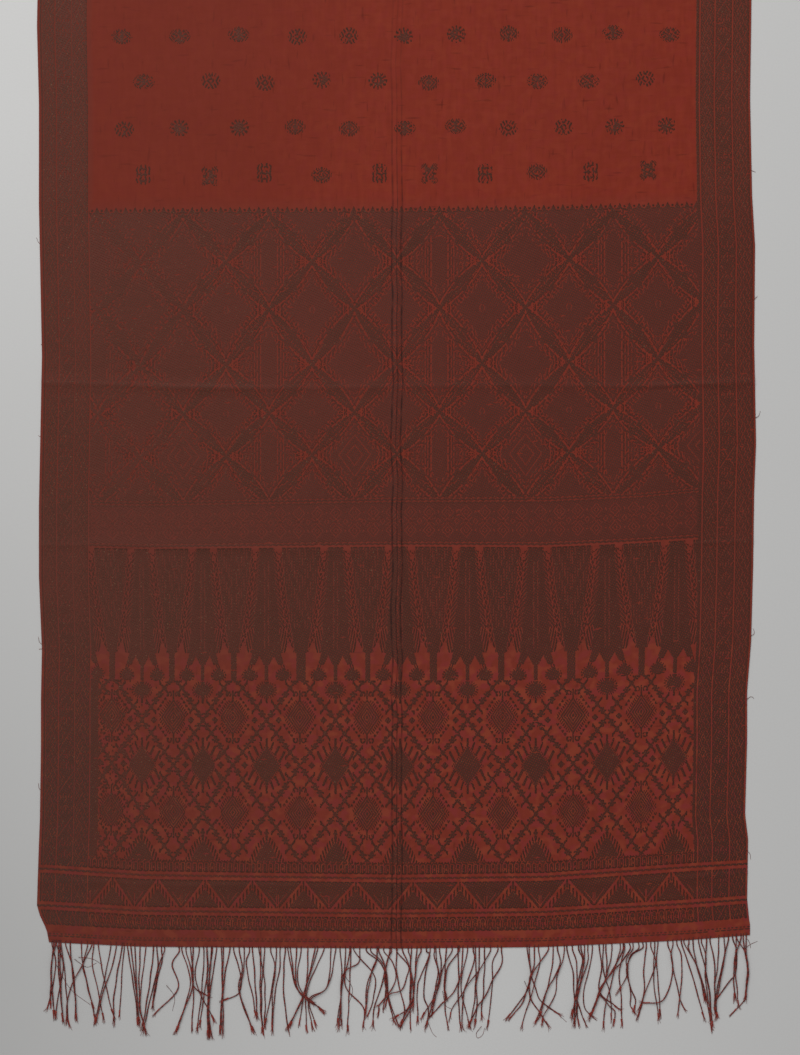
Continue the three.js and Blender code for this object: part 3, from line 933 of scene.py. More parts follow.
def draftBorders(brown):
    # side borders, the same all the way up: two columns of fine waves, a column of diamonds between
    p = np.arange(pickCount)[:, None] + 0.5
    for side, redLines, waves, centre, edge in borders:
        here = (ends > panelEnds[1]) if side > 0 else (ends < panelEnds[0])
        red = np.zeros(brown.shape, bool)
        for place, width in redLines:
            red |= line(ends - place, width)
        for low, high in waves:
            inside = within(ends, low, high)
            zigzag = every(ends - low + 2.4 * wave(p, 6), finePitch, fineLine)
            red |= inside & zigzag & every(p + 5 * np.floor((ends - low) / finePitch), 12, 9)
        low, high = centre
        de, dp = np.abs(ends - (low + high) / 2), np.abs(np.mod(p, borderRepeat) - borderRepeat / 2)
        inside = de < (high - low) / 2 - 0.4
        crossing = line(de - dp * 0.62, 0.6) | line(de - dp * 0.62 - 3.4, 0.5)
        uprights = every(de, finePitch, fineLine) & within(dp, 12, 20)
        lower = line(de + (dp - borderRepeat / 2) * 0.9 + 1, 0.6) & (dp > 14)
        red |= inside & ((crossing & (dp < 13)) | uprights | lower) & (someOf(p, 2) | every(p, 5, 1))
        red |= (ends > edge) if side > 0 else (ends < edge)
        brown[:] = np.where(here, ~red, brown)


def weaveDraft():
    brown = np.zeros((pickCount, columnCount), bool)
    figured = {
        "hookRow": draftHookRow, "tumpal": draftTumpal, "archRow": draftArchRow,
        "lowerPanel": draftLowerPanel, "spires": draftSpires, "lozengeRow": draftLozengeRow,
        "lattice": draftLattice, "teeth": draftTeeth, "field": draftField,
    }
    for band in bands:
        brown[slice(*bands[band])] = figured[band]() if band in figured else draftLines(band)
    draftBorders(brown)
    # the end stripes run right across the side borders
    for band in ("endBand", "lowStripe", "highStripe"):
        brown[slice(*bands[band])] = draftLines(band)
    brown[-weave["hemPicks"]:] = False
    low, high, inset = weave["hemLine"]
    brown[-low:-high, inset:-inset] = True
    return brown


# Pattern threads: each float is a short ribbon over the silk, laid by Geometry Nodes
floats = {
    "bindEvery": 18,           # columns between the points where a long float is bound down
    "bindShift": 7,            # columns that the binding moves along from pick to pick
    "shortest": 2,             # columns: anything shorter is left out
    "width": 0.98,             # share of the pick's pitch
    "dip": 0.05,               # mm that a float's ends go under the surface
    "lowest": (0.0005, 0.5),   # metres and share: so short a float rises only so much
    "highest": (0.005, 1.0),
    "wornShare": 0.003,        # share of the floats that have worn away
    "edgePicks": 2,            # how far round a float its neighbours are counted
    "edgeShade": 0.8,
    "plainShade": 0.15,        # share of it that these plain lines get
    "plainLines": ("endBand", "lowStripe", "highStripe", "doubleLine", "thinLines"),
    "tones": {                 # how much red shows through, beside the lattice
        "endBand": 0.8, "lowStripe": 0.5, "tumpal": 0.0, "highStripe": 0.5, "lowerPanel": 0.0,
        "spires": 0.05, "doubleLine": 0.3, "lozengeRow": 0.75, "thinLines": 0.3,
    },
    "seed": 5,
}


def newTree(name, inputs):
    tree = bpy.data.node_groups.new(name, "GeometryNodeTree")
    for label, kind in {"Geometry": "Geometry", **inputs}.items():
        tree.interface.new_socket(label, in_out="INPUT", socket_type="NodeSocket" + kind)
    tree.interface.new_socket("Geometry", in_out="OUTPUT", socket_type="NodeSocketGeometry")
    return tree, addNode(tree, "NodeGroupInput")


def evaluated(source, tree, values):
    # puts the tree on the source object and gives back the plain mesh that it makes
    modifier = source.modifiers.new(tree.name, "NODES")
    modifier.node_group = tree
    for item in tree.interface.items_tree:
        if item.in_out == "INPUT" and item.name in values:
            modifier[item.identifier] = values[item.name]
    depsgraph = bpy.context.evaluated_depsgraph_get()
    mesh = bpy.data.meshes.new_from_object(source.evaluated_get(depsgraph))
    source.modifiers.clear()
    plain = source.data
    bpy.data.objects.remove(source)
    bpy.data.meshes.remove(plain)
    return mesh


def pointsObject(name, places, values, edges=()):
    mesh = bpy.data.meshes.new(name)
    mesh.vertices.add(len(places))
    mesh.vertices.foreach_set("co", places.astype(np.float32).ravel())
    if len(edges):
        mesh.edges.add(len(edges))
        mesh.edges.foreach_set("vertices", edges.astype(np.int32).ravel())
    for label, table in values.items():
        storeTable(mesh, label, table)
    return placed(name, mesh)


def floatTree():
    tree, given = newTree("floatRibbons", {
        "Thread Width": "Float", "Rise": "Float", "Dip": "Float", "Material": "Material"})
    ribbon = addNode(tree, "GeometryNodeMeshGrid", {
        "Size X": 1, "Size Y": 1, "Vertices X": 3, "Vertices Y": 2})[0]
    # the middle rises over the ground and both ends dip under it
    along = addNode(tree, "ShaderNodeSeparateXYZ", [addNode(tree, "GeometryNodeInputPosition")[0]])["X"]
    square = addNode(tree, "ShaderNodeMath", [along, along], operation="MULTIPLY")[0]
    square = addNode(tree, "ShaderNodeMath", [square, 4.0], operation="MULTIPLY")[0]
    drop = addNode(tree, "ShaderNodeMath", [given["Rise"], given["Dip"]], operation="ADD")[0]
    fall = addNode(tree, "ShaderNodeMath", [square, drop], operation="MULTIPLY")[0]
    lift = addNode(tree, "ShaderNodeMath", [given["Rise"], fall], operation="SUBTRACT")[0]
    offset = addNode(tree, "ShaderNodeCombineXYZ", {"Z": lift})[0]
    ribbon = addNode(tree, "GeometryNodeSetPosition", {"Geometry": ribbon, "Offset": offset})[0]
    run = addNode(tree, "GeometryNodeInputNamedAttribute", {"Name": "runLength"}, data_type="FLOAT")[0]
    (short, least), (long, most) = floats["lowest"], floats["highest"]
    rising = addNode(tree, "ShaderNodeMapRange", [run, short, long, least, most])[0]
    scale = addNode(tree, "ShaderNodeCombineXYZ", [run, given["Thread Width"], rising])[0]
    laid = addNode(tree, "GeometryNodeInstanceOnPoints", {
        "Points": given["Geometry"], "Instance": ribbon, "Scale": scale})[0]
    real = addNode(tree, "GeometryNodeRealizeInstances", [laid])[0]
    done = addNode(tree, "GeometryNodeSetMaterial", {"Geometry": real, "Material": given["Material"]})[0]
    addNode(tree, "NodeGroupOutput", [done])
    return tree


def floatRuns(brown):
    # every unbroken run of brown along a pick, cut where the binding holds it down
    row = np.arange(brown.shape[0])[:, None]
    column = np.arange(brown.shape[1])[None, :]
    bound = (column + floats["bindShift"] * row) % floats["bindEvery"] == 0
    step = np.diff(np.pad((brown & ~bound).astype(np.int8), ((0, 0), (1, 1))), axis=1)
    pick, start = np.nonzero(step == 1)
    stop = np.nonzero(step == -1)[1]
    keep = stop - start >= floats["shortest"]
    keep &= np.random.default_rng(floats["seed"]).random(len(keep)) > floats["wornShare"]
    return pick[keep], start[keep], stop[keep]


def crowding(brown):
    # the share of brown in a small window round each place, by running sums
    up, across = floats["edgePicks"], floats["edgePicks"] * columnsPerEnd
    sums = np.pad(brown.astype(np.float32), ((up + 1, up), (across + 1, across)), mode="edge")
    sums = sums.cumsum(axis=0).cumsum(axis=1)
    tall, wide = 2 * up + 1, 2 * across + 1
    total = sums[tall:, wide:] - sums[:-tall, wide:] - sums[tall:, :-wide] + sums[:-tall, :-wide]
    return total / (tall * wide)


def isIn(band, pick):
    first, last = bands[band]
    return (pick >= first) & (pick < last)


def floatTone(end, pick):
    # 0 where the metal thread covers the ground, up to 1 where much red shows through it
    d, leaf = latticeAt(end, pick + 0.5)[4:]
    cells = smooth(0.01, 0.05, 1 - d - leaf)
    # the panel's middle has lost more of its gilt than its foot and sides
    worn = ridge(np.hypot((end - 10) / 270, (pick - 605) / 135), 1)
    faint = 0.75 * smooth(-120, -280, end)            # on the left the leaves have faded into their ground
    tone = 0.58 * cells * (1 - faint) + 0.40 * faint + 0.30 * worn
    tone = np.where(isIn("lattice", pick) & (np.abs(end) < 306), tone, 0.05)
    inner = within(end, *panelEnds)
    for band, share in floats["tones"].items():
        tone = np.where(isIn(band, pick) & inner, share, tone)
    uneven = np.where(isIn("field", pick), 0.22, 0.12)
    rng = np.random.default_rng(floats["seed"] + 1)
    return np.clip(tone + rng.normal(0, 1, len(tone)) * uneven, 0, 1)


def makeFloats(name, tree, pick, start, stop, share, material):
    middle = (weave["leftEnd"] + (start + stop) / 2 / columnsPerEnd) * thread
    length = (stop - start) / columnsPerEnd * thread
    places = np.stack((middle, (pick + 0.5) * thread, np.zeros(len(pick))), axis=-1) * mm
    source = pointsObject(name + "Points", places, {"runLength": length * mm})
    mesh = evaluated(source, tree, {
        "Thread Width": thread * floats["width"] * mm, "Rise": weave["floatRise"] * mm,
        "Dip": floats["dip"] * mm, "Material": material})
    mesh.name = name
    flat = readTable(mesh.vertices, "co", wide=3).reshape(-1, 3) / mm
    laid = lay(flat[:, 0], flat[:, 1], weave["sheetThickness"] + flat[:, 2])
    mesh.vertices.foreach_set("co", laid.astype(np.float32).ravel())
    flat = flat[:, :2]
    storeFlatPlace(mesh, flat)
    low, high = flat.min(axis=0), flat.max(axis=0)
    corners = readTable(mesh.loops, "vertex_index", np.int32)
    finishMesh(mesh, ((flat - low) / (high - low) * 0.98 + 0.01)[corners])
    # painted shade: thin lines and the edges of brown areas are darkened, the plain lines hardly
    plain = np.any([isIn(band, pick) for band in floats["plainLines"]], axis=0)
    dark = floats["edgeShade"] * smooth(0.92, 0.45, share) * np.where(plain, floats["plainShade"], 1)
    for label, values in (("floatTone", floatTone(middle / thread, pick)), ("floatShade", dark)):
        storeTable(mesh, label, np.repeat(values, 6))          # a ribbon has six vertices
    return placed(name, mesh)


def makeAllFloats(material):
    brown = weaveDraft()
    pick, start, stop = floatRuns(brown)
    share = crowding(brown)[pick, (start + stop) // 2]
    tree = floatTree()
    leftColumn, rightColumn = [(end - weave["leftEnd"]) * columnsPerEnd for end in panelEnds]
    middle = (start + stop) / 2
    parts = {"borderFloatsLeft": middle <= leftColumn, "borderFloatsRight": middle >= rightColumn}
    latticeFoot, latticeMiddle = bands["lattice"][0], sum(bands["lattice"]) // 2
    for name, first, last in (
            ("footFloats", 0, bands["lowerPanel"][0]), ("lowerPanelFloats", *bands["lowerPanel"]),
            ("spireFloats", bands["spires"][0], latticeFoot),
            ("latticeFloatsLow", latticeFoot, latticeMiddle),
            ("latticeFloatsHigh", latticeMiddle, bands["teeth"][1]), ("fieldFloats", *bands["field"])):
        parts[name] = within(middle, leftColumn, rightColumn) & (pick >= first) & (pick < last)
    pieces = []
    for name, part in parts.items():
        pieces.append(makeFloats(name, tree, pick[part], start[part], stop[part], share[part], material))
        print(name, int(part.sum()), "floats")
    return pieces


# The fringe: the cloth's own warp ends, twisted two by two and lying loose on the floor
fringe = {
    "radius": 0.90,            # mm, the strand's half width
    "radiusRange": (0.85, 1.12),
    "settle": 0.72,            # a soft strand lies lower than it is wide
    "flatness": 0.78,          # a strand is two plies, so it is wider one way
    "twistPitch": 7.5,         # mm for one turn
    "step": 2.4,               # mm between stations
    "sides": 8,
    "rootInside": 3.0,         # mm that a strand starts inside the cloth
    "wander": 0.5,             # mm of sideways wave
    "hairsPerTip": 6,
    "hairLength": 6.5,         # mm that a tip frays past the twist
    "hairBack": 5,             # mm that a loose end starts inside the strand
    "hairSpread": 0.05,        # radians
    "hairBend": 0.12,
    "hairRadius": 0.40,
    "hairSides": 3,
    "pileCell": 1.2,           # mm, the grid that piles crossing strands
    "pileCells": (900, 130),
    "pileCorner": (500, 20),   # mm that the grid begins left of the middle and over the hem's line
    "pileLimit": 1.6,          # mm: crossing strands press each other flat
    "seed": 23,
}
# Each strand, listed one by one: the end that it leaves the hem at, then pairs of end and picks below the
# hem's line
strandChart = (
    "-344.5 -341 16 -343 38 -348 61 / -343 -345 16 -346 38 -346 60 / -341 -345 19 -344 45 -342 69 / "
    "-339.5 -333 19 -337 45 -341 70 / -338 -338 20 -336 47 -335 72 / -336.5 -337 20 -335 47 -334 73 / "
    "-335.5 -332 22 -330 51 -328 79 / -330.5 -325 19 -321 44 -321 69 / -325.8 -325 19 -322 44 -320 72 / "
    "-315.2 -314 16 -309 38 -304 61 / -305.2 -316 24 -326 47 -330 75 / -309.3 -313 21 -307 48 -301 73 / "
    "-302.8 -304 19 -299 45 -293 72 / -298.1 -296 18 -290 43 -284 68 / -285.7 -289 21 -295 48 -301 76 / "
    "-280.4 -284 21 -293 48 -300 74 / -274.5 -278 21 -282 48 -283 76 / -272.7 -274 19 -276 44 -277 69 / "
    "-269.2 -261 57 -259 77 / -265.6 -259 55 -258 76 / -261.5 -259 57 -257 76 / "
    "-256.2 -257 56 -252 85 / -251.5 -256 57 -251 85 / -243.2 -245 23 -249 53 -254 80 / "
    "-239.7 -239 23 -246 53 -253 84 / -235 -234 16 -239 36 -243 57 / -232 -236 16 -241 36 -243 60 / "
    "-217.8 -224 20 -218 43 -240 67 / -214.3 -206 39 -220 85 / -209.6 -204 39 -220 84 / "
    "-206 -203 38 -204 81 / -203.1 -203 39 -190 50 / -197.8 -201 36 -183 74 / "
    "-193.1 -193 22 -195 51 -199 82 / -189.5 -189 22 -193 51 -197 79 / -184.2 -187 25 -188 57 -187 89 / "
    "-189.7 -189 59 -189 89 / -185 -188 60 -187 87 / -180.3 -188 58 -186 89 / -175.6 -175 42 -177 84 / "
    "-173.2 -174 43 -176 85 / -166.7 -173 41 -173 87 / -162.6 -156 28 -157 47 -172 55 / "
    "-157.3 -154 24 -157 47 -145 82 / -152.6 -153 23 -156 49 -143 85 / -147.3 -150 19 -145 44 -141 69 / "
    "-144.3 -143 19 -141 44 -140 71 / -137.8 -135 24 -135 54 -134 87 / -136 -136 24 -136 54 -134 86 / "
    "-131.9 -133 22 -131 50 -132 80 / -125.5 -122 22 -126 50 -131 77 / -120.7 -121 23 -124 52 -125 81 / "
    "-116 -117 23 -122 52 -124 84 / -111.3 -113 24 -112 55 -108 85 / -108.3 -101 41 -87 55 / "
    "-106 -100 43 -86 57 / -99.5 -99 43 -75 64 / -95.3 -98 40 -74 66 / -88.9 -92 47 -108 81 / "
    "-82.4 -92 47 -106 80 / -79.4 -91 46 -97 77 / -73.5 -90 46 -90 84 / -65.9 -70 42 -87 54 -85 81 / "
    "-61.1 -69 41 -86 56 -81 79 / -56.4 -55 22 -56 50 -59 77 / -51.1 -52 22 -55 50 -57 81 / "
    "-45.8 -46 24 -48 54 -49 84 / -36.9 -39 18 -54 31 -56 78 / -41.7 -21 32 -23 53 -28 69 / "
    "-47 -51 41 -33 62 -34 80 / -29.3 -15 19 -10 37 -13 61 / -25.1 -14 17 -9 37 -11 59 / "
    "-19.8 -21 18 -29 37 -31 67 / -18.9 -20 14 -26 32 -31 64 / -17.5 -12 20 -14 38 -21 60 -24 79 / "
    "-12.5 -4 17 -1 32 -5 44 -16 58 -18 67 / -6.7 -10 20 -12 35 -8 54 -3 76 / "
    "-5.5 -9 14 -11 30 -8 50 0 76 / 0.3 0 24 2 38 5 50 8 66 5 79 / 0.9 12 21 10 32 5 45 -7 49 -17 59 / "
    "11.8 13 14 14 32 14 58 14 81 / 15 14 20 15 45 12 63 -1 72 / 6 12 20 17 45 14 64 5 80 / "
    "20.5 19 16 18 32 16 52 5 78 / 24.5 21 14 18 35 16 62 / 33.5 32 14 24 32 21 42 21 75 / "
    "30.3 33 10 28 32 28 52 32 64 30 80 / 37.9 37 11 41 25 40 39 37 53 26 71 / "
    "39.2 40 14 42 32 38 50 32 73 30 80 / 43 45 20 42 40 35 66 / 50 49 17 48 39 48 60 51 80 / "
    "55.1 49 16 45 29 42 39 37 58 / 61.5 62 32 62 52 64 81 / 62.1 52 21 49 35 48 45 49 50 / "
    "66.5 65 22 63 35 56 48 45 59 35 70 / 71.1 69 14 64 32 65 48 68 60 73 78 / "
    "76.8 78 14 72 35 68 45 66 58 66 81 / 79 80 24 79 39 78 58 74 80 / 82.5 82 24 80 39 80 58 79 78 / "
    "88.3 88 24 87 45 86 60 85 71 / 93.5 87 18 79 29 68 44 56 63 53 71 / 101 96 18 96 38 93 63 91 79 / "
    "104.9 105 18 96 36 87 53 80 63 73 78 / 130.4 133 22 134 32 129 48 112 72 / "
    "132.9 133 20 136 35 143 53 152 62 162 68 / 138 137 20 133 35 134 53 144 68 151 80 / "
    "141.9 143 17 139 35 134 53 125 80 / 151.5 144 16 136 29 131 43 125 58 115 71 / "
    "156.5 156 18 152 39 148 53 140 76 / 161 164 18 158 32 150 46 144 70 / "
    "167.4 166 16 160 32 158 50 147 70 146 77 / 171 176 28 178 49 179 77 / "
    "176 180 18 180 38 179 52 176 71 / 182.3 186 16 182 36 180 52 182 78 / "
    "184.4 187 16 184 38 180 50 184 66 188 77 / 187.9 187 24 183 44 180 60 178 77 / "
    "191.4 191 16 184 40 180 52 176 68 / 195.5 194 19 188 43 188 62 195 71 / "
    "202.5 205 24 202 43 207 52 215 58 221 63 / 206.8 206 21 210 36 214 52 214 72 / "
    "209.5 210 24 207 38 202 49 194 71 / 215.2 214 18 207 40 202 48 206 53 214 62 218 66 217 78 / "
    "226.5 222 16 212 32 204 46 196 68 / 223.5 220 18 214 40 210 57 207 80 / "
    "232.8 224 18 214 29 205 42 200 54 / 227.9 223 24 224 44 226 78 / 236.3 230 15 231 30 222 45 / "
    "246.1 235 10 230 24 234 42 238 52 239 56 238 64 / 241.9 234 11 231 28 234 49 234 60 237 66 / "
    "249.5 248 19 247 48 245 60 241 70 / 254.5 259 16 256 30 248 49 243 63 / 258 257 21 257 40 262 72 / "
    "261.5 260 16 262 42 264 68 / 271.4 275 10 276 28 271 49 264 57 249 58 / "
    "276.3 274 12 280 38 283 52 287 62 / 280.5 285 12 285 38 281 68 / 284.7 291 16 299 42 307 71 / "
    "288.2 299 18 306 38 312 60 315 82 / 292.4 292 4 302 26 308 52 / 296.5 298 10 305 38 308 53 / "
    "302.2 308 18 312 44 315 80 / 305.5 309 10 309 38 314 66 / 310 309 24 312 48 314 72 / "
    "314.2 318 16 318 38 320 71 / 322.5 322 16 318 40 318 66 / 327.5 328 10 322 38 319 60 321 71 / "
    "331.7 329 7 324 35 320 54 / 335.9 340 7 339 28 333 36 322 52 / 339.5 340 2 339 24 342 59 / "
    "344.3 339 10 337 28 338 52 / 340.1 348 7 350 24 350 40 348 54 337 67 / "
    "347 348 6 351 26 350 42 349 52 / 349.9 350 10 351 24 349 49"
)


def curveThrough(knots, step):
    # a smooth line through the knots, sampled at even steps
    knots = np.array(knots, float)
    padded = np.concatenate(([2 * knots[0] - knots[1]], knots, [2 * knots[-1] - knots[-2]]))
    t = np.linspace(0, 1, 24, endpoint=False)[:, None]
    spans = []
    for a, b, c, d in zip(padded, padded[1:], padded[2:], padded[3:]):
        spans.append(0.5 * (2 * b + (c - a) * t + (2 * a - 5 * b + 4 * c - d) * t ** 2
                            + (3 * b - a - 3 * c + d) * t ** 3))
    curve = np.concatenate(spans + [knots[-1:]])
    along = np.concatenate(([0], np.cumsum(np.hypot(*np.diff(curve, axis=0).T))))
    places = np.linspace(0, along[-1], max(int(along[-1] / step), 3) + 1)
    return np.stack([np.interp(places, along, curve[:, k]) for k in (0, 1)], axis=-1), places


def strandLines(rng):
    # the strands as flat lines in mm: x across, y up from the hem's mean line
    lines = []
    for text in strandChart.split(" / "):
        root, *numbers = [float(word) * thread for word in text.split()]
        hem = float(np.interp(root, hemBow[:, 0], hemBow[:, 1]))
        knots = [(root, hem + fringe["rootInside"]), (root + rng.normal(0, 0.3), hem - 4)]
        knots += [(x + rng.normal(0, 0.4), -down) for x, down in zip(numbers[0::2], numbers[1::2])]
        strand, along = curveThrough(knots, fringe["step"])
        phase, pitch = rng.uniform(0, 6.3), rng.uniform(26, 44)
        sway = fringe["wander"] * rng.uniform(0.2, 1) * smooth(8, 30, along)
        strand[:, 0] += sway * np.sin(along / pitch * 2 * np.pi + phase)
        lines.append((strand, along))
    return lines


def pileUp(lines, radii):
    # later strands lie over earlier ones where they cross
    top = np.zeros(fringe["pileCells"])
    cell, (left, above) = fringe["pileCell"], fringe["pileCorner"]
    heights = []
    for (strand, along), radius in zip(lines, radii):
        column = np.clip(((strand[:, 0] + left) / cell).astype(int), 1, top.shape[0] - 2)
        row = np.clip(((above - strand[:, 1]) / cell).astype(int), 1, top.shape[1] - 2)
        under = np.array([top[c - 1:c + 2, r - 1:r + 2].max() for c, r in zip(column, row)])
        under = np.minimum(under, fringe["pileLimit"])
        reach = np.array([under[max(i - 2, 0):i + 3].max() for i in range(len(under))])
        eased = np.convolve(np.pad(reach, 3, mode="edge"), np.ones(7) / 7, "valid")
        z = np.maximum(eased, under) + radius * 0.96
        inCloth = 1 - smooth(2, 9, along)
        z = z * (1 - inCloth) + 1.0 * inCloth
        heights.append(z)
        for c, r, h in zip(column, row, z + radius * 0.5):
            top[c, r] = max(top[c, r], h)
    return heights


def linesObject(name, lines):
    # joins the lines into one object of edges; each line is (points in mm, radii in mm, along, tone)
    points, radii, along, tone = zip(*lines)
    counts = [len(distances) for distances in along]
    order = np.repeat(np.arange(len(lines)), counts)
    joined = np.flatnonzero(order[1:] == order[:-1])
    values = {"strandRadius": np.concatenate(radii) * mm, "along": np.concatenate(along) * mm,
              "tone": np.repeat(tone, counts), "order": order}
    return pointsObject(name, np.concatenate(points) * mm, values, np.stack((joined, joined + 1), axis=-1))


def strandTree():
    tree, given = newTree("twistedStrands", {
        "Sides": "Int", "Flatness": "Float", "Twist Pitch": "Float", "Material": "Material"})
    radius, along = [addNode(tree, "GeometryNodeInputNamedAttribute", {"Name": name}, data_type="FLOAT")[0]
                     for name in ("strandRadius", "along")]
    curve = addNode(tree, "GeometryNodeMeshToCurve", {"Mesh": given["Geometry"]})[0]
    curve = addNode(tree, "GeometryNodeSetCurveNormal", {"Curve": curve}, mode="Z_UP")[0]
    turns = addNode(tree, "ShaderNodeMath", [along, given["Twist Pitch"]], operation="DIVIDE")[0]
    angle = addNode(tree, "ShaderNodeMath", [turns, 2 * math.pi], operation="MULTIPLY")[0]
    curve = addNode(tree, "GeometryNodeSetCurveTilt", {"Curve": curve, "Tilt": angle})[0]
    # an oval whose points know how far round they are
    circle = addNode(tree, "GeometryNodeCurvePrimitiveCircle", {"Resolution": given["Sides"], "Radius": 1.0},
                     mode="RADIUS")[0]
    index = addNode(tree, "GeometryNodeInputIndex")[0]
    around = addNode(tree, "ShaderNodeMath", [index, given["Sides"]], operation="DIVIDE")[0]
    circle = addNode(tree, "GeometryNodeStoreNamedAttribute", {
        "Geometry": circle, "Name": "around", "Value": around}, data_type="FLOAT", domain="POINT")[0]
    oval = addNode(tree, "ShaderNodeCombineXYZ", [1.0, given["Flatness"], 1.0])[0]
    circle = addNode(tree, "GeometryNodeTransform", {"Geometry": circle, "Scale": oval})[0]
    tube = addNode(tree, "GeometryNodeCurveToMesh", {
        "Curve": curve, "Profile Curve": circle, "Scale": radius, "Fill Caps": True})[0]
    done = addNode(tree, "GeometryNodeSetMaterial", {"Geometry": tube, "Material": given["Material"]})[0]
    addNode(tree, "NodeGroupOutput", [done])
    return tree


def finishStrands(name, mesh, strandCount):
    # strandPlace carries the distance along, the turn round and the tone; OFBake gives each strand a row
    mesh.name = name
    places = readTable(mesh.vertices, "co", wide=3)
    places[2::3] *= fringe["settle"]
    mesh.vertices.foreach_set("co", places)
    labels = ("along", "around", "tone", "order", "strandRadius")
    along, around, tone, order = [readTable(mesh.attributes[label].data, "value") for label in labels[:4]]
    place = np.stack((along, np.cos(2 * np.pi * around), tone), axis=-1)
    storeTable(mesh, "strandPlace", place, "FLOAT_VECTOR")
    for label in labels:
        if label in mesh.attributes:
            mesh.attributes.remove(mesh.attributes[label])
    corners = readTable(mesh.loops, "vertex_index", np.int32)
    face = np.repeat(np.arange(len(mesh.polygons)), readTable(mesh.polygons, "loop_total", np.int32))
    turn = around[corners].astype(float)
    highest = np.zeros(len(mesh.polygons))
    np.maximum.at(highest, face, turn)
    turn[(highest[face] > 0.6) & (turn < 0.05)] = 1.0      # the seam's far side
    up = (np.round(order[corners]) + 0.05 + turn * 0.9) / strandCount
    finishMesh(mesh, np.stack((along[corners] / along.max() * 0.98 + 0.01, up * 0.98 + 0.01), axis=-1))
    return placed(name, mesh)


# tip is a clearer red, partly painted highlight on the loose ends
fringeSilk = {"red": "#8a342c", "dark": "#4e2622", "dusty": "#93493c", "tip": "#98362d"}


def looseSilkMaterial():
    # untwisted silk ends: a clearer red than the strands, partly a painted highlight for the light they
    # catch; soft and a little shiny
    material, tree, shader = newMaterial("looseSilk", 0.55, 0.2, sheen=0.2, sheenTint="#d8907c")
    place = addNode(tree, "ShaderNodeAttribute", attribute_name="strandPlace")["Vector"]
    dye = addNode(tree, "ShaderNodeTexNoise", {"Vector": place, "Scale": 300, "Detail": 1})[0]
    colour = stain(tree, toLinear(fringeSilk["tip"]), fringeSilk["dusty"], (dye, 0.4, 0.7, 0, 0.6))
    tree.links.new(colour, shader.inputs["Base Color"])
    return material


def fringeMaterial():
    # twisted silk: two plies, one red and one darker, that wind round each other like a barber's pole
    material, tree, shader = newMaterial("twistedSilk", 0.6, 0.2, sheen=0.08, sheenTint="#c8806c")
    place = addNode(tree, "ShaderNodeAttribute", attribute_name="strandPlace")["Vector"]
    axis = addNode(tree, "ShaderNodeSeparateXYZ", [place])
    worn = addNode(tree, "ShaderNodeTexNoise", {"Vector": place, "Scale": 160, "Detail": 2})[0]
    colour = stain(tree, toLinear(fringeSilk["dark"]), fringeSilk["red"], (axis["Y"], -0.5, 0.5, 0, 1))
    colour = stain(tree, colour, fringeSilk["dusty"], (worn, 0.5, 0.8, 0, 0.7))
    colour = stain(tree, colour, fringeSilk["dark"], axis["Z"])
    tree.links.new(colour, shader.inputs["Base Color"])
    return material


looseThreads = {"radius": 0.34, "sides": 4, "over": 1.9, "step": 1.5}
# Single hair-thin threads, listed: pairs of end and picks over the hem's line
looseChart = (
    "348.5 -3.5 352 -0.5 355 1.2 361 3.8 / 351 6 353.5 1 354 -3 / 150 -62 160 -68 170 -77 / "
    "85 -81 80 -88 81 -93 86 -90 88 -83 / 31 -76 36 -88 40 -92 / 46 -46 49 -60 55 -64 / "
    "-318 -12 -304 -14 -294 -20 / -322 -14 -310 -22 -300 -18 / -340 -20 -326 -44 -306 -60 / "
    "128 -36 133 -52 129 -66 / -52 -30 -44 -44 -48 -60 / -230 -40 -222 -52 -224 -66 / "
    "354 236 359 239 362 237 / 354 300 358 303 357 308 / 354 520 358 522 360 527 / 354 772 359 770 / "
    "-354 300 -359 303 -360 309 / -354 297 -360 296 / -354 512 -359 516 / -354 706 -358 708 -360 713 / "
    "353 84 357 80 358 74 / -354 150 -358 152 -359 158 / 354 640 358 644 / -354 610 -358 606"
)


def looseLines(rng, lift):
    lines = []
    for text in looseChart.split(" / "):
        numbers = [float(word) * thread for word in text.split()]
        loose, along = curveThrough(list(zip(numbers[0::2], numbers[1::2])), looseThreads["step"])
        z = looseThreads["over"] * np.clip(1 - along / 9, 0.16, 1)
        radii = looseThreads["radius"] * (1 - 0.4 * along / along[-1])
        atSelvage = loose[0, 1] > 40
        points = lay(*loose.T, z * 0.5) / mm if atSelvage else np.column_stack((loose, z)) + lift
        lines.append((points, radii, along, rng.uniform(0, 0.5)))
    return lines


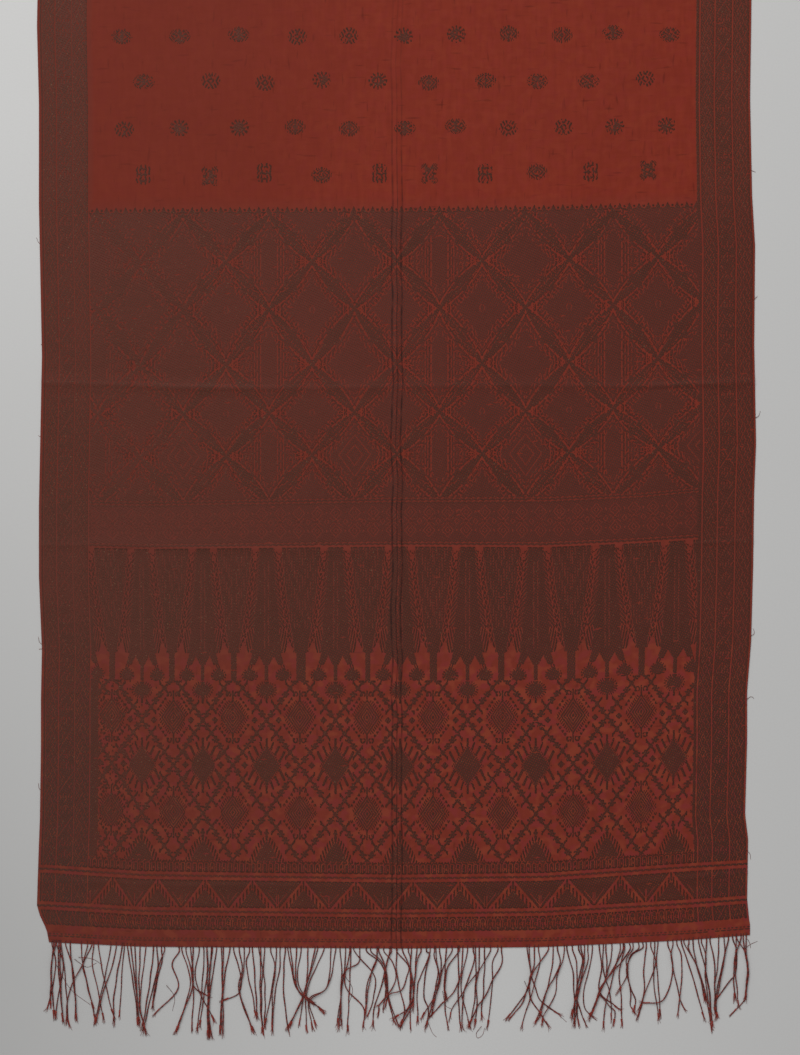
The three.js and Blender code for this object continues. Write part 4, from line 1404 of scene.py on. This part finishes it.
def makeFringe(material, looseMaterial):
    rng = np.random.default_rng(fringe["seed"])
    lines = strandLines(rng)
    radii = rng.uniform(*fringe["radiusRange"], len(lines)) * fringe["radius"]
    lift = np.array([0, hemY, 0])
    strands, hairs = [], []
    for (strand, along), z, radius in zip(lines, pileUp(lines, radii), radii):
        # thinner towards the tip, a little uneven all along
        width = 1 - 0.35 * smooth(12, 0, along[-1] - along) + 0.10 * np.sin(along / 5 + radius * 40)
        strands.append((np.column_stack((strand, z)) + lift, radius * width, along, rng.uniform(0, 0.45)))
        heading = strand[-1] - strand[-4]
        heading = heading / np.hypot(*heading)
        sideways = np.array([-heading[1], heading[0]])
        for _ in range(fringe["hairsPerTip"]):
            t = np.linspace(0, 1, 5)
            turn, bend = rng.normal(0, fringe["hairSpread"]), rng.normal(0, fringe["hairBend"])
            angle = turn + bend * t ** 2
            reach = fringe["hairLength"] * rng.uniform(0.45, 1.35) * t
            start = strand[-1] - heading * fringe["hairBack"] + sideways * rng.normal(0, 0.45)
            dx = heading[0] * np.cos(angle) - heading[1] * np.sin(angle)
            dy = heading[0] * np.sin(angle) + heading[1] * np.cos(angle)
            reach = reach + fringe["hairBack"] * t
            rise = np.maximum(z[-1] * (1.25 - t) + rng.uniform(0.3, 1.0) * t, fringe["hairRadius"] * 1.2)
            hair = np.column_stack((start[0] + dx * reach, start[1] + dy * reach, rise)) + lift
            hairs.append((hair, fringe["hairRadius"] * (1.35 - t), reach, rng.uniform(0, 0.4)))
    tree = strandTree()
    pieces = []
    for name, group, sides, flatness, silkUsed in (
            ("fringeStrands", strands, fringe["sides"], fringe["flatness"], material),
            ("fringeTips", hairs, fringe["hairSides"], 1.0, looseMaterial),
            ("looseThreads", looseLines(rng, lift), looseThreads["sides"], 1.0, material)):
        mesh = evaluated(linesObject(name + "Lines", group), tree, {
            "Sides": sides, "Flatness": flatness, "Twist Pitch": fringe["twistPitch"] * mm,
            "Material": silkUsed})
        pieces.append(finishStrands(name, mesh, len(group)))
    print("fringe", len(strands), "strands,", len(hairs), "loose ends")
    return pieces


# Floor and light: a pale studio sweep under a soft lamp high on the left
studio = {
    "floor": "#cbcac8",
    "floorShade": "#b3b2b0",   # painted shade: the paper's near left part, away from the lamp, and its right side
    "floorGrain": "#b4b3b0",
    "floorHalf": 6,            # metres
    "lampPlace": (-1.5, 2.9, 2.6),
    "lampAim": (0.1, -0.5, 0),
    "lampSize": 2.8,
    "lampPower": 140,
    "air": "#f4f5f7",
    "airStrength": 0.53,
}


def makeFloor():
    half = studio["floorHalf"]
    mesh = bpy.data.meshes.new("studioFloor")
    corners = [(-half, -half, 0), (half, -half, 0), (half, half, 0), (-half, half, 0)]
    mesh.from_pydata(corners, [], [(0, 1, 2, 3)])
    # matt paper with a faint grain
    material, tree, shader = newMaterial("paleStudioPaper", 0.9, 0.2)
    place = addNode(tree, "ShaderNodeTexCoord")["Object"]
    grain = addNode(tree, "ShaderNodeTexNoise", {"Vector": place, "Scale": 500, "Detail": 2})[0]
    axis = addNode(tree, "ShaderNodeSeparateXYZ", [place])
    x, y = axis["X"], axis["Y"]
    colour = toLinear(studio["floor"])
    # painted shade: darker at the near left and towards the right
    for tint, *shares in ((studio["floorShade"], (y, 0.1, -0.9, 0, 1), (x, 0.0, -0.5, 0, 1)),
                          (studio["floorShade"], (x, 0.1, 0.45, 0, 0.22)),
                          (studio["floorGrain"], (grain, 0.3, 0.7, 0, 0.12))):
        colour = stain(tree, colour, tint, *shares)
    tree.links.new(colour, shader.inputs["Base Color"])
    mesh.materials.append(material)
    return placed("studioFloor", mesh)


def makeLight():
    data = bpy.data.lights.new("softKey", "AREA")
    data.shape, data.size, data.energy = "SQUARE", studio["lampSize"], studio["lampPower"]
    lamp = placed("softKey", data)
    lamp.location = studio["lampPlace"]
    lamp.visible_camera = False
    aim = mathutils.Vector(studio["lampAim"]) - lamp.location
    lamp.rotation_euler = aim.to_track_quat("-Z", "Y").to_euler()
    world = bpy.data.worlds.new("studioAir")
    bpy.context.scene.world = world
    world.use_nodes = True
    air = world.node_tree.nodes["Background"]
    air.inputs["Color"].default_value = toLinear(studio["air"])
    air.inputs["Strength"].default_value = studio["airStrength"]
    bpy.context.scene.view_settings.view_transform = "Standard"


floor = makeFloor()
makeLight()
print("floor and light placed")
cloth = makeSheet(silkMaterial())
print("sheet laid,", len(cloth.data.polygons), "faces")
floatPieces = makeAllFloats(metalThreadMaterial())
fringePieces = makeFringe(fringeMaterial(), looseSilkMaterial())

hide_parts("cloth")
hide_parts("fringe")
for piece in [cloth] + floatPieces + fringePieces:
    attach(piece, "root")
madePieces = [cloth] + floatPieces + fringePieces
triangles = [len(piece.data.loops) - 2 * len(piece.data.polygons) for piece in madePieces]
print("pieces on the frame,", sum(triangles), "triangles in all, most in one", max(triangles))
